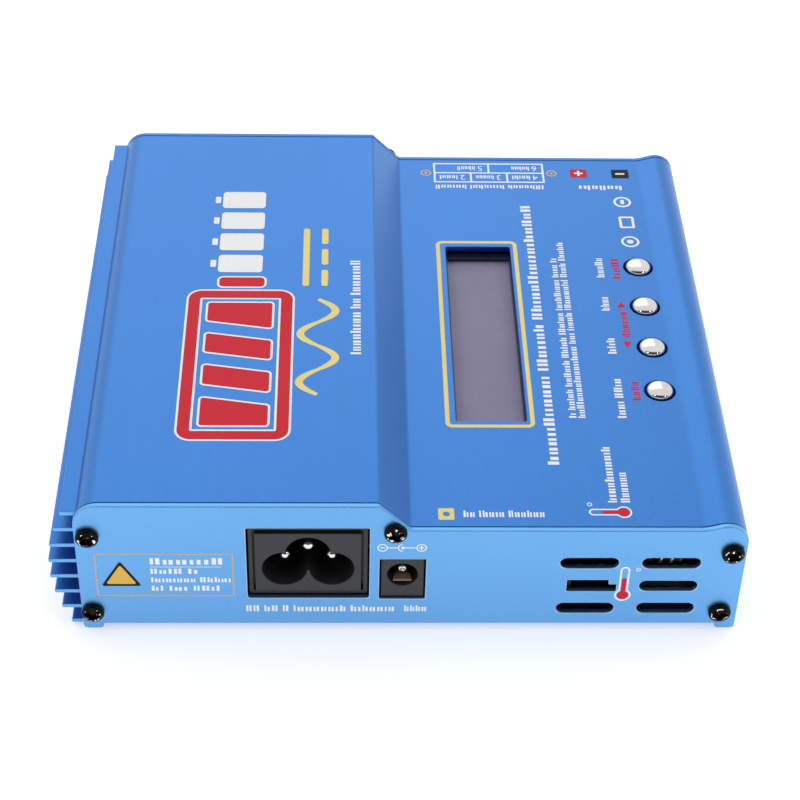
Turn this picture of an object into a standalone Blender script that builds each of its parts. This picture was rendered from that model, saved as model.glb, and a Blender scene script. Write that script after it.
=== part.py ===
"""Balance battery charger: an extruded, finned case with two end plates, a display, four keys,
a mains inlet and a low-voltage jack at the front, and output and balance sockets at the rear.

Metres, +Z up. +X runs from the fins to the keys, -Y is the front end plate.
The origin is at the bottom centre of the whole object, on the surface it stands on.
"""

import math

import bmesh
import bpy
from mathutils import Matrix, Vector

MM = 0.001

# Overall size
WIDTH = 144 * MM
DEPTH = 135 * MM
HEIGHT = 36 * MM

# Case section
PLATE = 1.2 * MM
SEAM = 0.2 * MM
GAP = 0.3 * MM
FOOT_HEIGHT = 2.0 * MM
FIN_REACH = 6.0 * MM
SKIN = 1.5 * MM
SIDE_WALL = 2.0 * MM
RAIL_DROP = 1.4 * MM
RAIL_WIDTH = 4.3 * MM
LOW_DROP = 6.7 * MM
SHOULDER_RISE = 1.1 * MM
SLOPE_TOP_X = -4.1 * MM
SLOPE_FOOT_X = 2.5 * MM
LEFT_CORNER = 5.3 * MM
RIGHT_CORNER = 4.6 * MM
SHOULDER_START_X = 63.0 * MM
SHOULDER_CREST_X = 66.7 * MM
CHORD_ERROR = 0.05 * MM

RIGHT = WIDTH / 2
FIN_TIP = -WIDTH / 2
LEFT = FIN_TIP + FIN_REACH
FRONT = -DEPTH / 2
REAR = DEPTH / 2
BASE_Z = FOOT_HEIGHT
RAIL_Z = BASE_Z - RAIL_DROP
LOW_Z = HEIGHT - LOW_DROP
CREST_Z = LOW_Z + SHOULDER_RISE
SHELL_LENGTH = DEPTH - 2 * (PLATE + SEAM)

# Heat-sink fins on the left side
FINS = 8
FIN_THICKNESS = 1.0 * MM
FIN_FOOT_Z = 0.9 * MM
TOP_FIN_Z = 33.2 * MM
FIN_PITCH = (TOP_FIN_Z - FIN_FOOT_Z - FIN_THICKNESS) / (FINS - 1)
FIN_MIDDLE_Z = (FIN_FOOT_Z + TOP_FIN_Z) / 2
FIN_CROWN = 14.1
FIN_EDGE = 0.3 * MM

# Base plate
BASE_THICKNESS = 1.6 * MM
LEDGE_Z = BASE_Z + BASE_THICKNESS + 0.4 * MM
PILLAR_RADIUS = 2.5 * MM
FOOT_RADIUS = 5.5 * MM
FOOT_X = (-50 * MM, 55 * MM)
FOOT_Y = 54 * MM

# End-plate screws: (x, z) of each, and the boss that it is driven into
SCREW_PLACES = (
    (-63.3 * MM, 27.6 * MM),
    (-63.7 * MM, 5.7 * MM),
    (-0.6 * MM, 29.0 * MM),
    (69.1 * MM, 23.1 * MM),
    (68.3 * MM, 5.7 * MM),
)
HEAD_RADIUS = 2.4 * MM
HEAD_HEIGHT = 1.6 * MM
HEAD_CROWN = 0.9 * MM
HEAD_CLEARANCE = 0.1 * MM
SHANK_RADIUS = 1.15 * MM
SHANK_LENGTH = 9 * MM
BOSS_HOLE_RADIUS = 1.35 * MM
PLATE_HOLE_RADIUS = 1.5 * MM
BOSS_REACH = 2.9 * MM

# Front plate features
INLET_CENTRE = (-18.5 * MM, 19.8 * MM)
INLET_SIZE = (25.3 * MM, 20.2 * MM)
LOBE_RADIUS = 4.6 * MM
LOBE_HALF_PITCH = 4.9 * MM
LOBE_LOW = -1.9 * MM
LOBE_HIGH = 2.4 * MM
JACK_CENTRE = (1.05 * MM, 15.25 * MM)
JACK_SIZE = (9.6 * MM, 11.6 * MM)
JACK_BORE_RADIUS = 3.15 * MM
JACK_BORE_RISE = 0.85 * MM
VENT_X = (39.7 * MM, 56.7 * MM)
VENT_Z = (6.65 * MM, 13.3 * MM, 20.0 * MM)
VENT_LENGTH = 12.2 * MM
VENT_HEIGHT = 3.0 * MM
PORT_X = (35.4 * MM, 45.8 * MM)
PORT_Z = (11.7 * MM, 15.0 * MM)
PORT_NOTCH = (1.7 * MM, 1.3 * MM)

# Display and keys
WINDOW_X = (13.0 * MM, 28.4 * MM)
WINDOW_Y = (-33.6 * MM, 29.5 * MM)
KEY_X = 58.4 * MM
KEY_FIRST_Y = 21.7 * MM
KEY_PITCH = 15.0 * MM
KEY_NAMES = ("start", "increase", "decrease", "stop")
KEY_HOLE_RADIUS = 3.5 * MM
KEY_RADIUS = 3.0 * MM
KEY_FLANGE_RADIUS = 4.1 * MM
KEY_STANDS = 1.0 * MM

# Circuit boards
BOARD = 1.6 * MM
BOARD_Z = 7.7 * MM
BOARD_TOP = BOARD_Z + BOARD
POWER_BOARD_X = (-60.5 * MM, -7.5 * MM)
POWER_BOARD_Y = (-60 * MM, 62 * MM)
MAIN_BOARD_X = (-6.9 * MM, 64.9 * MM)
MAIN_BOARD_Y = (-62 * MM, 56.5 * MM)

# Rear plate sockets
OUTPUT_X = {"negative": 59.3 * MM, "positive": 47.3 * MM}
OUTPUT_Z = 16.0 * MM
OUTPUT_HOLE_RADIUS = 4.1 * MM
HEADER_PITCH = 2.5 * MM
HEADER_END = 2.45 * MM
HEADER_HEIGHT = 5.75 * MM
HEADER_DEPTH = 7.0 * MM
HEADER_WALL = 0.8 * MM
HEADER_SPACING = 1.5 * MM
HEADER_ROWS = (
    (9.6 * MM, (5, 6)),
    (18.2 * MM, (2, 3, 4)),
)
HEADERS_MIDDLE_X = 21.1 * MM

ALONG_FRONT = (math.pi / 2, 0, 0)
ALONG_REAR = (-math.pi / 2, 0, 0)


def clear_scene():
    for obj in list(bpy.data.objects):
        bpy.data.objects.remove(obj, do_unlink=True)


def new_collection(name):
    collection = bpy.data.collections.new(name)
    bpy.context.scene.collection.children.link(collection)
    return collection


clear_scene()
PARTS = new_collection("balance_battery_charger")
CUTTERS = new_collection("cutters")


def material(name, colour, roughness, metallic=0.0):
    made = bpy.data.materials.new(name)
    made.use_nodes = True
    shader = made.node_tree.nodes["Principled BSDF"]
    shader.inputs["Base Color"].default_value = (*colour, 1)
    shader.inputs["Roughness"].default_value = roughness
    shader.inputs["Metallic"].default_value = metallic
    made.diffuse_color = (*colour, 1)
    return made


BLUE_COVER = material("blue_anodised_cover", (0.045, 0.17, 0.55), 0.42, 0.85)
BLUE_PLATE = material("blue_anodised_plate", (0.07, 0.25, 0.66), 0.45, 0.85)
BLACK_STEEL = material("black_oxide_steel", (0.02, 0.02, 0.022), 0.3, 0.9)
BLACK_PLASTIC = material("black_plastic", (0.03, 0.03, 0.032), 0.5)
WHITE_PLASTIC = material("white_nylon", (0.75, 0.73, 0.68), 0.5)
RED_PLASTIC = material("red_plastic", (0.6, 0.02, 0.02), 0.35)
RUBBER = material("black_rubber", (0.03, 0.03, 0.03), 0.8)
PLATED = material("nickel_plate", (0.8, 0.79, 0.76), 0.2, 1.0)
CHROME = material("chromed_cap", (0.85, 0.85, 0.86), 0.12, 1.0)
STEEL = material("zinc_steel", (0.6, 0.6, 0.6), 0.35, 1.0)
RAW_ALUMINIUM = material("raw_aluminium", (0.7, 0.7, 0.71), 0.4, 1.0)
BOARD_GREEN = material("green_circuit_board", (0.02, 0.16, 0.07), 0.45)
DISPLAY = material("display_glass", (0.24, 0.22, 0.3), 0.15)
COPPER = material("enamelled_copper", (0.7, 0.28, 0.1), 0.3, 1.0)
FERRITE = material("dark_ferrite", (0.05, 0.05, 0.055), 0.6)


def into(collection, obj, mat=None):
    collection.objects.link(obj)
    if mat is not None:
        obj.data.materials.append(mat)
    return obj


def hide(obj):
    obj.hide_render = True
    obj.display_type = "WIRE"
    return obj


def smooth(mesh):
    mesh.shade_smooth()
    mesh.set_sharp_from_angle(angle=math.radians(35))


def fillet(corners):
    """The outline through corners (x, y) or (x, y, radius), each radius drawn as an arc."""
    points = []
    for index, corner in enumerate(corners):
        here = Vector(corner[:2])
        radius = corner[2] if len(corner) > 2 else 0
        if radius == 0:
            points.append(here)
            continue
        before = (Vector(corners[index - 1][:2]) - here).normalized()
        after = (Vector(corners[(index + 1) % len(corners)][:2]) - here).normalized()
        half = before.angle(after) / 2
        centre = here + (before + after).normalized() * (radius / math.sin(half))
        start = here + before * (radius / math.tan(half)) - centre
        turn = start.angle_signed(here + after * (radius / math.tan(half)) - centre)
        steps = max(1, math.ceil(abs(turn) / chord_angle(radius)))
        for step in range(steps + 1):
            points.append(centre + Matrix.Rotation(-turn * step / steps, 2) @ start)
    return points


def chord_angle(radius):
    return 2 * math.acos(1 - CHORD_ERROR / radius)


def sides_of(radius):
    return max(12, 4 * math.ceil(math.tau / chord_angle(radius) / 4))


def circle(centre, radius):
    sides = sides_of(radius)
    turns = [math.tau * step / sides for step in range(sides)]
    return [Vector(centre) + radius * Vector((math.cos(a), math.sin(a))) for a in turns]


def rectangle(x, y, radius=0.0):
    corners = ((x[0], y[0]), (x[1], y[0]), (x[1], y[1]), (x[0], y[1]))
    return fillet([(*corner, radius) for corner in corners])


def around(centre, size, radius=0.0):
    x = (centre[0] - size[0] / 2, centre[0] + size[0] / 2)
    y = (centre[1] - size[1] / 2, centre[1] + size[1] / 2)
    return rectangle(x, y, radius)


def slot(centre, length, height):
    return around(centre, (length, height), height / 2 * 0.999)


def extruded(name, outlines, thickness, location, rotation=(0, 0, 0), mat=None, helper=False):
    """A flat outline with holes, filled and given a thickness, made into a mesh."""
    curve = bpy.data.curves.new(name, "CURVE")
    curve.dimensions = "2D"
    curve.fill_mode = "BOTH"
    curve.extrude = thickness / 2
    for outline in outlines:
        spline = curve.splines.new("POLY")
        spline.points.add(len(outline) - 1)
        for point, place in zip(spline.points, outline):
            point.co = (place[0], place[1], 0, 1)
        spline.use_cyclic_u = True
    drawn = bpy.data.objects.new(name + "_outline", curve)
    drawn.location = location
    drawn.rotation_euler = rotation
    CUTTERS.objects.link(drawn)
    bpy.context.view_layer.update()
    graph = bpy.context.evaluated_depsgraph_get()
    mesh = bpy.data.meshes.new_from_object(drawn.evaluated_get(graph))
    mesh.name = name
    shape = bmesh.new()
    shape.from_mesh(mesh)
    bmesh.ops.remove_doubles(shape, verts=shape.verts, dist=1e-6)
    bmesh.ops.recalc_face_normals(shape, faces=shape.faces)
    shape.to_mesh(mesh)
    shape.free()
    smooth(mesh)
    obj = bpy.data.objects.new(name, mesh)
    obj.matrix_world = drawn.matrix_world
    bpy.data.objects.remove(drawn, do_unlink=True)
    return hide(into(CUTTERS, obj)) if helper else into(PARTS, obj, mat)


def section(name, outlines, y, mat=None, helper=False):
    """An outline in X and Z, extruded along Y between two places."""
    middle = (0, (y[0] + y[1]) / 2, 0)
    return extruded(name, outlines, y[1] - y[0], middle, ALONG_FRONT, mat, helper)


def layer(name, outlines, z, mat=None, helper=False):
    """An outline in X and Y, extruded along Z between two heights."""
    return extruded(name, outlines, z[1] - z[0], (0, 0, (z[0] + z[1]) / 2), (0, 0, 0), mat, helper)


def box(name, x, y, z, mat=None, edge=0.0, helper=False):
    shape = bmesh.new()
    size = (x[1] - x[0], y[1] - y[0], z[1] - z[0])
    bmesh.ops.create_cube(shape, size=1, matrix=Matrix.Diagonal((*size, 1)))
    mesh = bpy.data.meshes.new(name)
    shape.to_mesh(mesh)
    shape.free()
    obj = bpy.data.objects.new(name, mesh)
    obj.location = ((x[0] + x[1]) / 2, (y[0] + y[1]) / 2, (z[0] + z[1]) / 2)
    if edge:
        bevel = obj.modifiers.new("rounded_edges", "BEVEL")
        bevel.width = edge
        bevel.segments = 2
    return hide(into(CUTTERS, obj)) if helper else into(PARTS, obj, mat)


def boxes(name, places):
    """A helper of several boxes in one object."""
    shape = bmesh.new()
    for x, y, z in places:
        size = Matrix.Diagonal((x[1] - x[0], y[1] - y[0], z[1] - z[0], 1))
        middle = ((x[0] + x[1]) / 2, (y[0] + y[1]) / 2, (z[0] + z[1]) / 2)
        bmesh.ops.create_cube(shape, size=1, matrix=Matrix.Translation(middle) @ size)
    mesh = bpy.data.meshes.new(name)
    shape.to_mesh(mesh)
    shape.free()
    return hide(into(CUTTERS, bpy.data.objects.new(name, mesh)))


def turned(name, profile, location, rotation=(0, 0, 0), mat=None, helper=False, sides=0):
    """A turned shape: (radius, height) down the outer side, spun about the local Z axis."""
    mesh = bpy.data.meshes.new(name)
    count = len(profile)
    closed = profile[0][0] > 0 and profile[-1][0] > 0
    edges = [(i, i + 1) for i in range(count - 1)] + ([(count - 1, 0)] if closed else [])
    mesh.from_pydata([(radius, 0, height) for radius, height in profile], edges, [])
    obj = bpy.data.objects.new(name, mesh)
    obj.location = location
    obj.rotation_euler = rotation
    spin = obj.modifiers.new("turning", "SCREW")
    spin.steps = sides or sides_of(max(radius for radius, height in profile))
    spin.render_steps = spin.steps
    spin.use_merge_vertices = True
    spin.merge_threshold = 1e-5
    spin.use_smooth_shade = True
    return hide(into(CUTTERS, obj)) if helper else into(PARTS, obj, mat)


def combine(target, helper, operation):
    modifier = target.modifiers.new(helper.name, "BOOLEAN")
    modifier.operation = operation
    modifier.solver = "EXACT"
    modifier.object = helper
    return target


def cut(target, helper):
    return combine(target, helper, "DIFFERENCE")


def join(target, helper):
    return combine(target, helper, "UNION")


def dome(radius, height, steps):
    """(radius, height) points of a shallow cap, from its top centre to its rim."""
    sphere = (radius**2 + height**2) / (2 * height)
    reach = math.asin(radius / sphere)
    turns = [reach * step / steps for step in range(steps + 1)]
    return [(sphere * math.sin(a), height - sphere * (1 - math.cos(a))) for a in turns]


# ---------------------------------------------------------------- case section


def right_shoulder():
    """The outline from the right side, over the raised shoulder, to the foot of the slope."""
    return [
        (RIGHT, CREST_Z, RIGHT_CORNER),
        (SHOULDER_CREST_X, CREST_Z, 4 * MM),
        (SHOULDER_START_X, LOW_Z, 6 * MM),
        (SLOPE_FOOT_X, LOW_Z, 0.8 * MM),
        (SLOPE_TOP_X, HEIGHT, 1.0 * MM),
    ]


def plate_outline():
    lobe = 0.9 * MM
    return fillet(
        [
            (LEFT, RAIL_Z, lobe),
            (LEFT + RAIL_WIDTH, RAIL_Z, lobe),
            (LEFT + RAIL_WIDTH, BASE_Z),
            (RIGHT - RAIL_WIDTH, BASE_Z),
            (RIGHT - RAIL_WIDTH, RAIL_Z, lobe),
            (RIGHT, RAIL_Z, lobe * 0.4),
            *right_shoulder(),
            (LEFT, HEIGHT, LEFT_CORNER),
        ]
    )


def fin_tip(z):
    """The fins' ends lie on a crowned line; the two middle fins reach furthest."""
    return FIN_TIP + FIN_CROWN * ((z - FIN_MIDDLE_Z) ** 2 - (FIN_PITCH / 2) ** 2)


def left_wall(z):
    """The left face, which turns in under the rounded top corner."""
    rise = z - (HEIGHT - LEFT_CORNER)
    if rise <= 0:
        return LEFT
    return LEFT + LEFT_CORNER - math.sqrt(LEFT_CORNER**2 - rise**2)


def corner_arc(z_from, z_to, steps):
    """Points of the rounded top corner, going down from one height to another."""
    centre_z = HEIGHT - LEFT_CORNER
    start = math.asin((z_from - centre_z) / LEFT_CORNER)
    end = math.asin(max(0.0, z_to - centre_z) / LEFT_CORNER)
    points = []
    for step in range(steps + 1):
        angle = start + (end - start) * step / steps
        x = LEFT + LEFT_CORNER * (1 - math.cos(angle))
        points.append((x, centre_z + LEFT_CORNER * math.sin(angle)))
    return points


def fin_corners(number):
    """A fin's outline, top to bottom; number 0 is the lowest."""
    low = FIN_FOOT_Z + number * FIN_PITCH
    high = low + FIN_THICKNESS
    tip = fin_tip((low + high) / 2)
    return [
        (left_wall(high), high),
        (tip, high, FIN_EDGE),
        (tip, low, FIN_EDGE),
        (left_wall(low), low),
    ]


def shell_inside():
    """The inner outline, from the left rail up, across and down to the right rail."""
    left_inner = LEFT + SIDE_WALL
    right_inner = RIGHT - SIDE_WALL * 0.9
    top_left, low_left, middle, top_right, low_right = SCREW_PLACES
    return [
        (LEFT + RAIL_WIDTH, RAIL_Z, 0.6 * MM),
        (LEFT + RAIL_WIDTH, LEDGE_Z),
        (low_left[0] + BOSS_REACH, LEDGE_Z),
        (low_left[0] + BOSS_REACH, low_left[1] + BOSS_REACH, 0.8 * MM),
        (left_inner, low_left[1] + BOSS_REACH),
        (left_inner, top_left[1] - BOSS_REACH),
        (top_left[0] + BOSS_REACH, top_left[1] - BOSS_REACH, 0.8 * MM),
        (top_left[0] + BOSS_REACH, HEIGHT - SKIN),
        (SLOPE_TOP_X - 0.6 * MM, HEIGHT - SKIN),
        (middle[0] - BOSS_REACH, HEIGHT - SKIN - 1.5 * MM),
        (middle[0] - BOSS_REACH, middle[1] - BOSS_REACH, 0.8 * MM),
        (middle[0] + BOSS_REACH, middle[1] - BOSS_REACH, 0.8 * MM),
        (middle[0] + BOSS_REACH, LOW_Z - SKIN),
        (top_right[0] - BOSS_REACH, LOW_Z - SKIN),
        (top_right[0] - BOSS_REACH, top_right[1] - BOSS_REACH, 0.8 * MM),
        (right_inner, top_right[1] - BOSS_REACH),
        (right_inner, low_right[1] + BOSS_REACH),
        (low_right[0] - BOSS_REACH, low_right[1] + BOSS_REACH, 0.8 * MM),
        (low_right[0] - BOSS_REACH, LEDGE_Z),
        (RIGHT - RAIL_WIDTH, LEDGE_Z),
        (RIGHT - RAIL_WIDTH, RAIL_Z, 0.6 * MM),
    ]


def shell_outline():
    below_top_corner = HEIGHT - LEFT_CORNER
    top_fin = FIN_FOOT_Z + (FINS - 1) * FIN_PITCH
    left_side = corner_arc(HEIGHT, top_fin + FIN_THICKNESS, 5)[:-1]
    left_side += fin_corners(FINS - 1)
    left_side += corner_arc(top_fin, below_top_corner, 2)[1:]
    for number in reversed(range(FINS - 1)):
        left_side += fin_corners(number)
    return fillet(
        [
            *shell_inside(),
            (RIGHT, RAIL_Z, 0.4 * MM),
            *right_shoulder(),
            *left_side,
            (LEFT, RAIL_Z, 0.2 * MM),
        ]
    )


def key_places():
    return [(KEY_X, KEY_FIRST_Y - number * KEY_PITCH) for number in range(len(KEY_NAMES))]


def make_upper_shell():
    half = SHELL_LENGTH / 2
    channels = [circle(place, BOSS_HOLE_RADIUS) for place in SCREW_PLACES]
    shell = section("upper_shell", [shell_outline(), *channels], (-half, half), BLUE_COVER)
    through = (LOW_Z - 3 * SKIN, LOW_Z + 3 * SKIN)
    openings = [rectangle(WINDOW_X, WINDOW_Y, 0.5 * MM)]
    openings += [circle(place, KEY_HOLE_RADIUS) for place in key_places()]
    cut(shell, layer("panel_cut_outs", openings, through, helper=True))


def pillar_places():
    """Where the moulded-in pillars carry the two lower boards."""
    places = []
    for x_range, y_range in ((POWER_BOARD_X, POWER_BOARD_Y), (MAIN_BOARD_X, MAIN_BOARD_Y)):
        for x in (x_range[0] + 4 * MM, x_range[1] - 4 * MM):
            for y in (y_range[0] + 5 * MM, y_range[1] - 5 * MM):
                places.append((x, y))
    return places


def make_base_plate():
    half = SHELL_LENGTH / 2
    x = (LEFT + RAIL_WIDTH + GAP, RIGHT - RAIL_WIDTH - GAP)
    base = box("base_plate", x, (-half, half), (BASE_Z, BASE_Z + BASE_THICKNESS), BLUE_COVER)
    pillar_z = (BASE_Z + BASE_THICKNESS / 2, BOARD_Z - GAP)
    pillars = [circle(place, PILLAR_RADIUS) for place in pillar_places()]
    join(base, layer("base_pillars", pillars, pillar_z, helper=True))


def make_feet():
    profile = [
        (0, FOOT_HEIGHT - SEAM),
        (FOOT_RADIUS, FOOT_HEIGHT - SEAM),
        (FOOT_RADIUS, 0.8 * MM),
        (FOOT_RADIUS - 0.6 * MM, 0),
        (0, 0),
    ]
    for side, x in zip(("left", "right"), FOOT_X):
        for end, y in (("front", -FOOT_Y), ("rear", FOOT_Y)):
            turned(f"rubber_foot_{end}_{side}", profile, (x, y, 0), mat=RUBBER)


def front_openings():
    """Every hole of the front plate apart from the screw holes."""
    x_mid = (PORT_X[0] + PORT_X[1]) / 2
    notch_x = PORT_X[1] - PORT_NOTCH[0]
    notch_z = PORT_Z[1] - PORT_NOTCH[1]
    port = [
        (PORT_X[0], PORT_Z[0]),
        (PORT_X[1], PORT_Z[0]),
        (PORT_X[1], notch_z),
        (notch_x, notch_z),
        (notch_x, PORT_Z[1]),
        (PORT_X[0], PORT_Z[1]),
    ]
    holes = [around(INLET_CENTRE, INLET_SIZE, 0.5 * MM), around(JACK_CENTRE, JACK_SIZE), port]
    for x in VENT_X:
        for z in VENT_Z:
            if abs(x - x_mid) > VENT_LENGTH / 2 or z != VENT_Z[1]:
                holes.append(slot((x, z), VENT_LENGTH, VENT_HEIGHT))
    return holes


def header_width(cells):
    return cells * HEADER_PITCH + 2 * HEADER_END


def header_places():
    """cells -> (lowest x, lowest z) of each balance header; the rows are centred on one line."""
    places = {}
    for z, row in HEADER_ROWS:
        total = sum(header_width(cells) for cells in row) + HEADER_SPACING * (len(row) - 1)
        x = HEADERS_MIDDLE_X - total / 2
        for cells in row:
            places[cells] = (x, z)
            x += header_width(cells) + HEADER_SPACING
    return places


def rear_openings():
    holes = [circle((x, OUTPUT_Z), OUTPUT_HOLE_RADIUS) for x in OUTPUT_X.values()]
    for cells, (x, z) in header_places().items():
        x_range = (x - GAP, x + header_width(cells) + GAP)
        holes.append(rectangle(x_range, (z - GAP, z + HEADER_HEIGHT + GAP)))
    return holes


def make_end_plates():
    screw_holes = [circle(place, PLATE_HOLE_RADIUS) for place in SCREW_PLACES]
    ends = (
        ("front_plate", front_openings(), (FRONT, FRONT + PLATE)),
        ("rear_plate", rear_openings(), (REAR - PLATE, REAR)),
    )
    for name, holes, y in ends:
        section(name, [plate_outline(), *screw_holes, *holes], y, BLUE_PLATE)


def cross_outline(arm, tip, root):
    """A cross whose four arms taper from the root's half width to the tip's."""
    corners = []
    for turn in range(4):
        quarter = Matrix.Rotation(turn * math.pi / 2, 2)
        for point in ((arm, -tip), (arm, tip), (root, root)):
            corners.append(quarter @ Vector(point))
    return corners


def make_screws():
    """Pan heads with a cross recess, standing just clear of the end plates."""
    side = HEAD_HEIGHT - HEAD_CROWN
    crown = dome(HEAD_RADIUS - 0.3 * MM, HEAD_CROWN, 2)
    profile = [
        *[(radius, height + side) for radius, height in crown],
        (HEAD_RADIUS, side - 0.2 * MM),
        (HEAD_RADIUS, 0),
        (SHANK_RADIUS, 0),
        (SHANK_RADIUS, -SHANK_LENGTH),
        (0, -SHANK_LENGTH),
    ]
    recess = cross_outline(1.75 * MM, 0.4 * MM, 0.55 * MM)
    ends = (
        ("front", FRONT - HEAD_CLEARANCE, FRONT - HEAD_HEIGHT, ALONG_FRONT),
        ("rear", REAR + HEAD_CLEARANCE, REAR + HEAD_HEIGHT, ALONG_REAR),
    )
    for end, seat, recess_middle, turn in ends:
        for number, (x, z) in enumerate(SCREW_PLACES, 1):
            name = f"{end}_screw_{number}"
            screw = turned(name, profile, (x, seat, z), turn, BLACK_STEEL)
            place = (x, recess_middle, z)
            cut(screw, extruded(name + "_recess", [recess], 2.4 * MM, place, turn, helper=True))


# ---------------------------------------------------------------- front sockets


def lobe_centres():
    x, z = INLET_CENTRE
    return {
        "line": (x - LOBE_HALF_PITCH, z + LOBE_LOW),
        "neutral": (x + LOBE_HALF_PITCH, z + LOBE_LOW),
        "earth": (x, z + LOBE_HIGH),
    }


def make_mains_inlet():
    """A three-lobed inlet with a raised face, its sockets open to the front."""
    face = FRONT + 0.4 * MM
    ledge = FRONT + 1.0 * MM
    back = FRONT + 22 * MM
    floor = FRONT + 17 * MM
    outer = (INLET_SIZE[0] - 2 * GAP, INLET_SIZE[1] - 2 * GAP)
    raised = (22.0 * MM, 16.6 * MM)
    body = section("mains_inlet", [around(INLET_CENTRE, outer, 0.4 * MM)], (ledge, back), BLACK_PLASTIC)
    front = [around(INLET_CENTRE, raised, 0.3 * MM)]
    join(body, section("inlet_face", front, (face, ledge + 2 * MM), helper=True))
    for name, centre in lobe_centres().items():
        lobe = [circle(centre, LOBE_RADIUS)]
        cut(body, section(f"inlet_lobe_{name}", lobe, (face - 1 * MM, floor), helper=True))
    pin_radius = 1.2 * MM
    holes = [circle(centre, pin_radius + GAP) for centre in lobe_centres().values()]
    cut(body, section("inlet_pin_holes", holes, (floor - 1 * MM, back + 1 * MM), helper=True))
    for name, (x, z) in lobe_centres().items():
        tip = face + (1.9 * MM if name == "earth" else 3.4 * MM)
        length = back + 3 * MM - tip
        profile = [
            (radius, height - 0.8 * MM) for radius, height in dome(pin_radius, 0.8 * MM, 3)
        ]
        profile += [(pin_radius, -length), (0, -length)]
        turned(f"inlet_pin_{name}", profile, (x, tip, z), ALONG_FRONT, PLATED)


def make_jack():
    face = FRONT + 0.5 * MM
    back = face + 14 * MM
    bore_end = face + 10 * MM
    bore = (JACK_CENTRE[0], JACK_CENTRE[1] + JACK_BORE_RISE)
    size = (JACK_SIZE[0] - 2 * GAP, JACK_SIZE[1] - 2 * GAP)
    body = section("low_voltage_jack", [around(JACK_CENTRE, size, 0.3 * MM)], (face, back), BLACK_PLASTIC)
    cut(body, section("jack_bore", [circle(bore, JACK_BORE_RADIUS)], (face - MM, bore_end), helper=True))
    pin_radius = 1.05 * MM
    hole = [circle(bore, pin_radius + GAP)]
    cut(body, section("jack_pin_hole", hole, (bore_end - MM, back + MM), helper=True))
    tip = face + 1.6 * MM
    length = back + 1.5 * MM - tip
    profile = [
        (0, 0),
        (pin_radius * 0.6, 0),
        (pin_radius, -0.5 * MM),
        (pin_radius, -length),
        (0, -length),
    ]
    turned("low_voltage_jack_pin", profile, (bore[0], tip, bore[1]), ALONG_FRONT, PLATED)


# ---------------------------------------------------------------- display and keys


def make_display():
    top = LOW_Z - SKIN - 0.6 * MM
    frame_x = (8.4 * MM, 33.0 * MM)
    frame_y = (-37.6 * MM, 33.4 * MM)
    frame_z = (top - 4.6 * MM, top)
    wall = 0.5 * MM
    view_x = (13.4 * MM, 28.1 * MM)
    view_y = (-35.4 * MM, 27.3 * MM)
    frame = box("display_frame", frame_x, frame_y, frame_z, BLACK_STEEL)
    hollow_x = (frame_x[0] + wall, frame_x[1] - wall)
    hollow_y = (frame_y[0] + wall, frame_y[1] - wall)
    hollow_z = (frame_z[0] - 1 * MM, top - wall)
    cut(frame, box("display_frame_hollow", hollow_x, hollow_y, hollow_z, helper=True))
    cut(frame, box("display_frame_view", view_x, view_y, (top - 3 * MM, top + MM), helper=True))
    glass_z = (top - wall - GAP - 1.8 * MM, top - wall - GAP)
    glass_x = (hollow_x[0] + GAP, hollow_x[1] - GAP)
    glass_y = (hollow_y[0] + GAP, hollow_y[1] - GAP)
    box("display_glass", glass_x, glass_y, glass_z, DISPLAY, edge=0.2 * MM)
    board_x = (3.2 * MM, 38.2 * MM)
    board_y = (-42 * MM, 38 * MM)
    make_spaced_board("display_board", board_x, board_y, frame_z[0] - GAP, 2.5 * MM)


def make_spaced_board(name, x, y, top, margin):
    """A board that stands on the main board on four spacers, this far in from its edges."""
    board = box(name, x, y, (top - BOARD, top), BOARD_GREEN)
    columns = (x[0] + margin, x[1] - margin)
    rows = (y[0] + margin, y[1] - margin)
    outlines = [circle((column, row), 1.5 * MM) for column in columns for row in rows]
    post_z = (BOARD_TOP + GAP, top - BOARD / 2)
    join(board, layer(name + "_spacers", outlines, post_z, helper=True))


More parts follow.
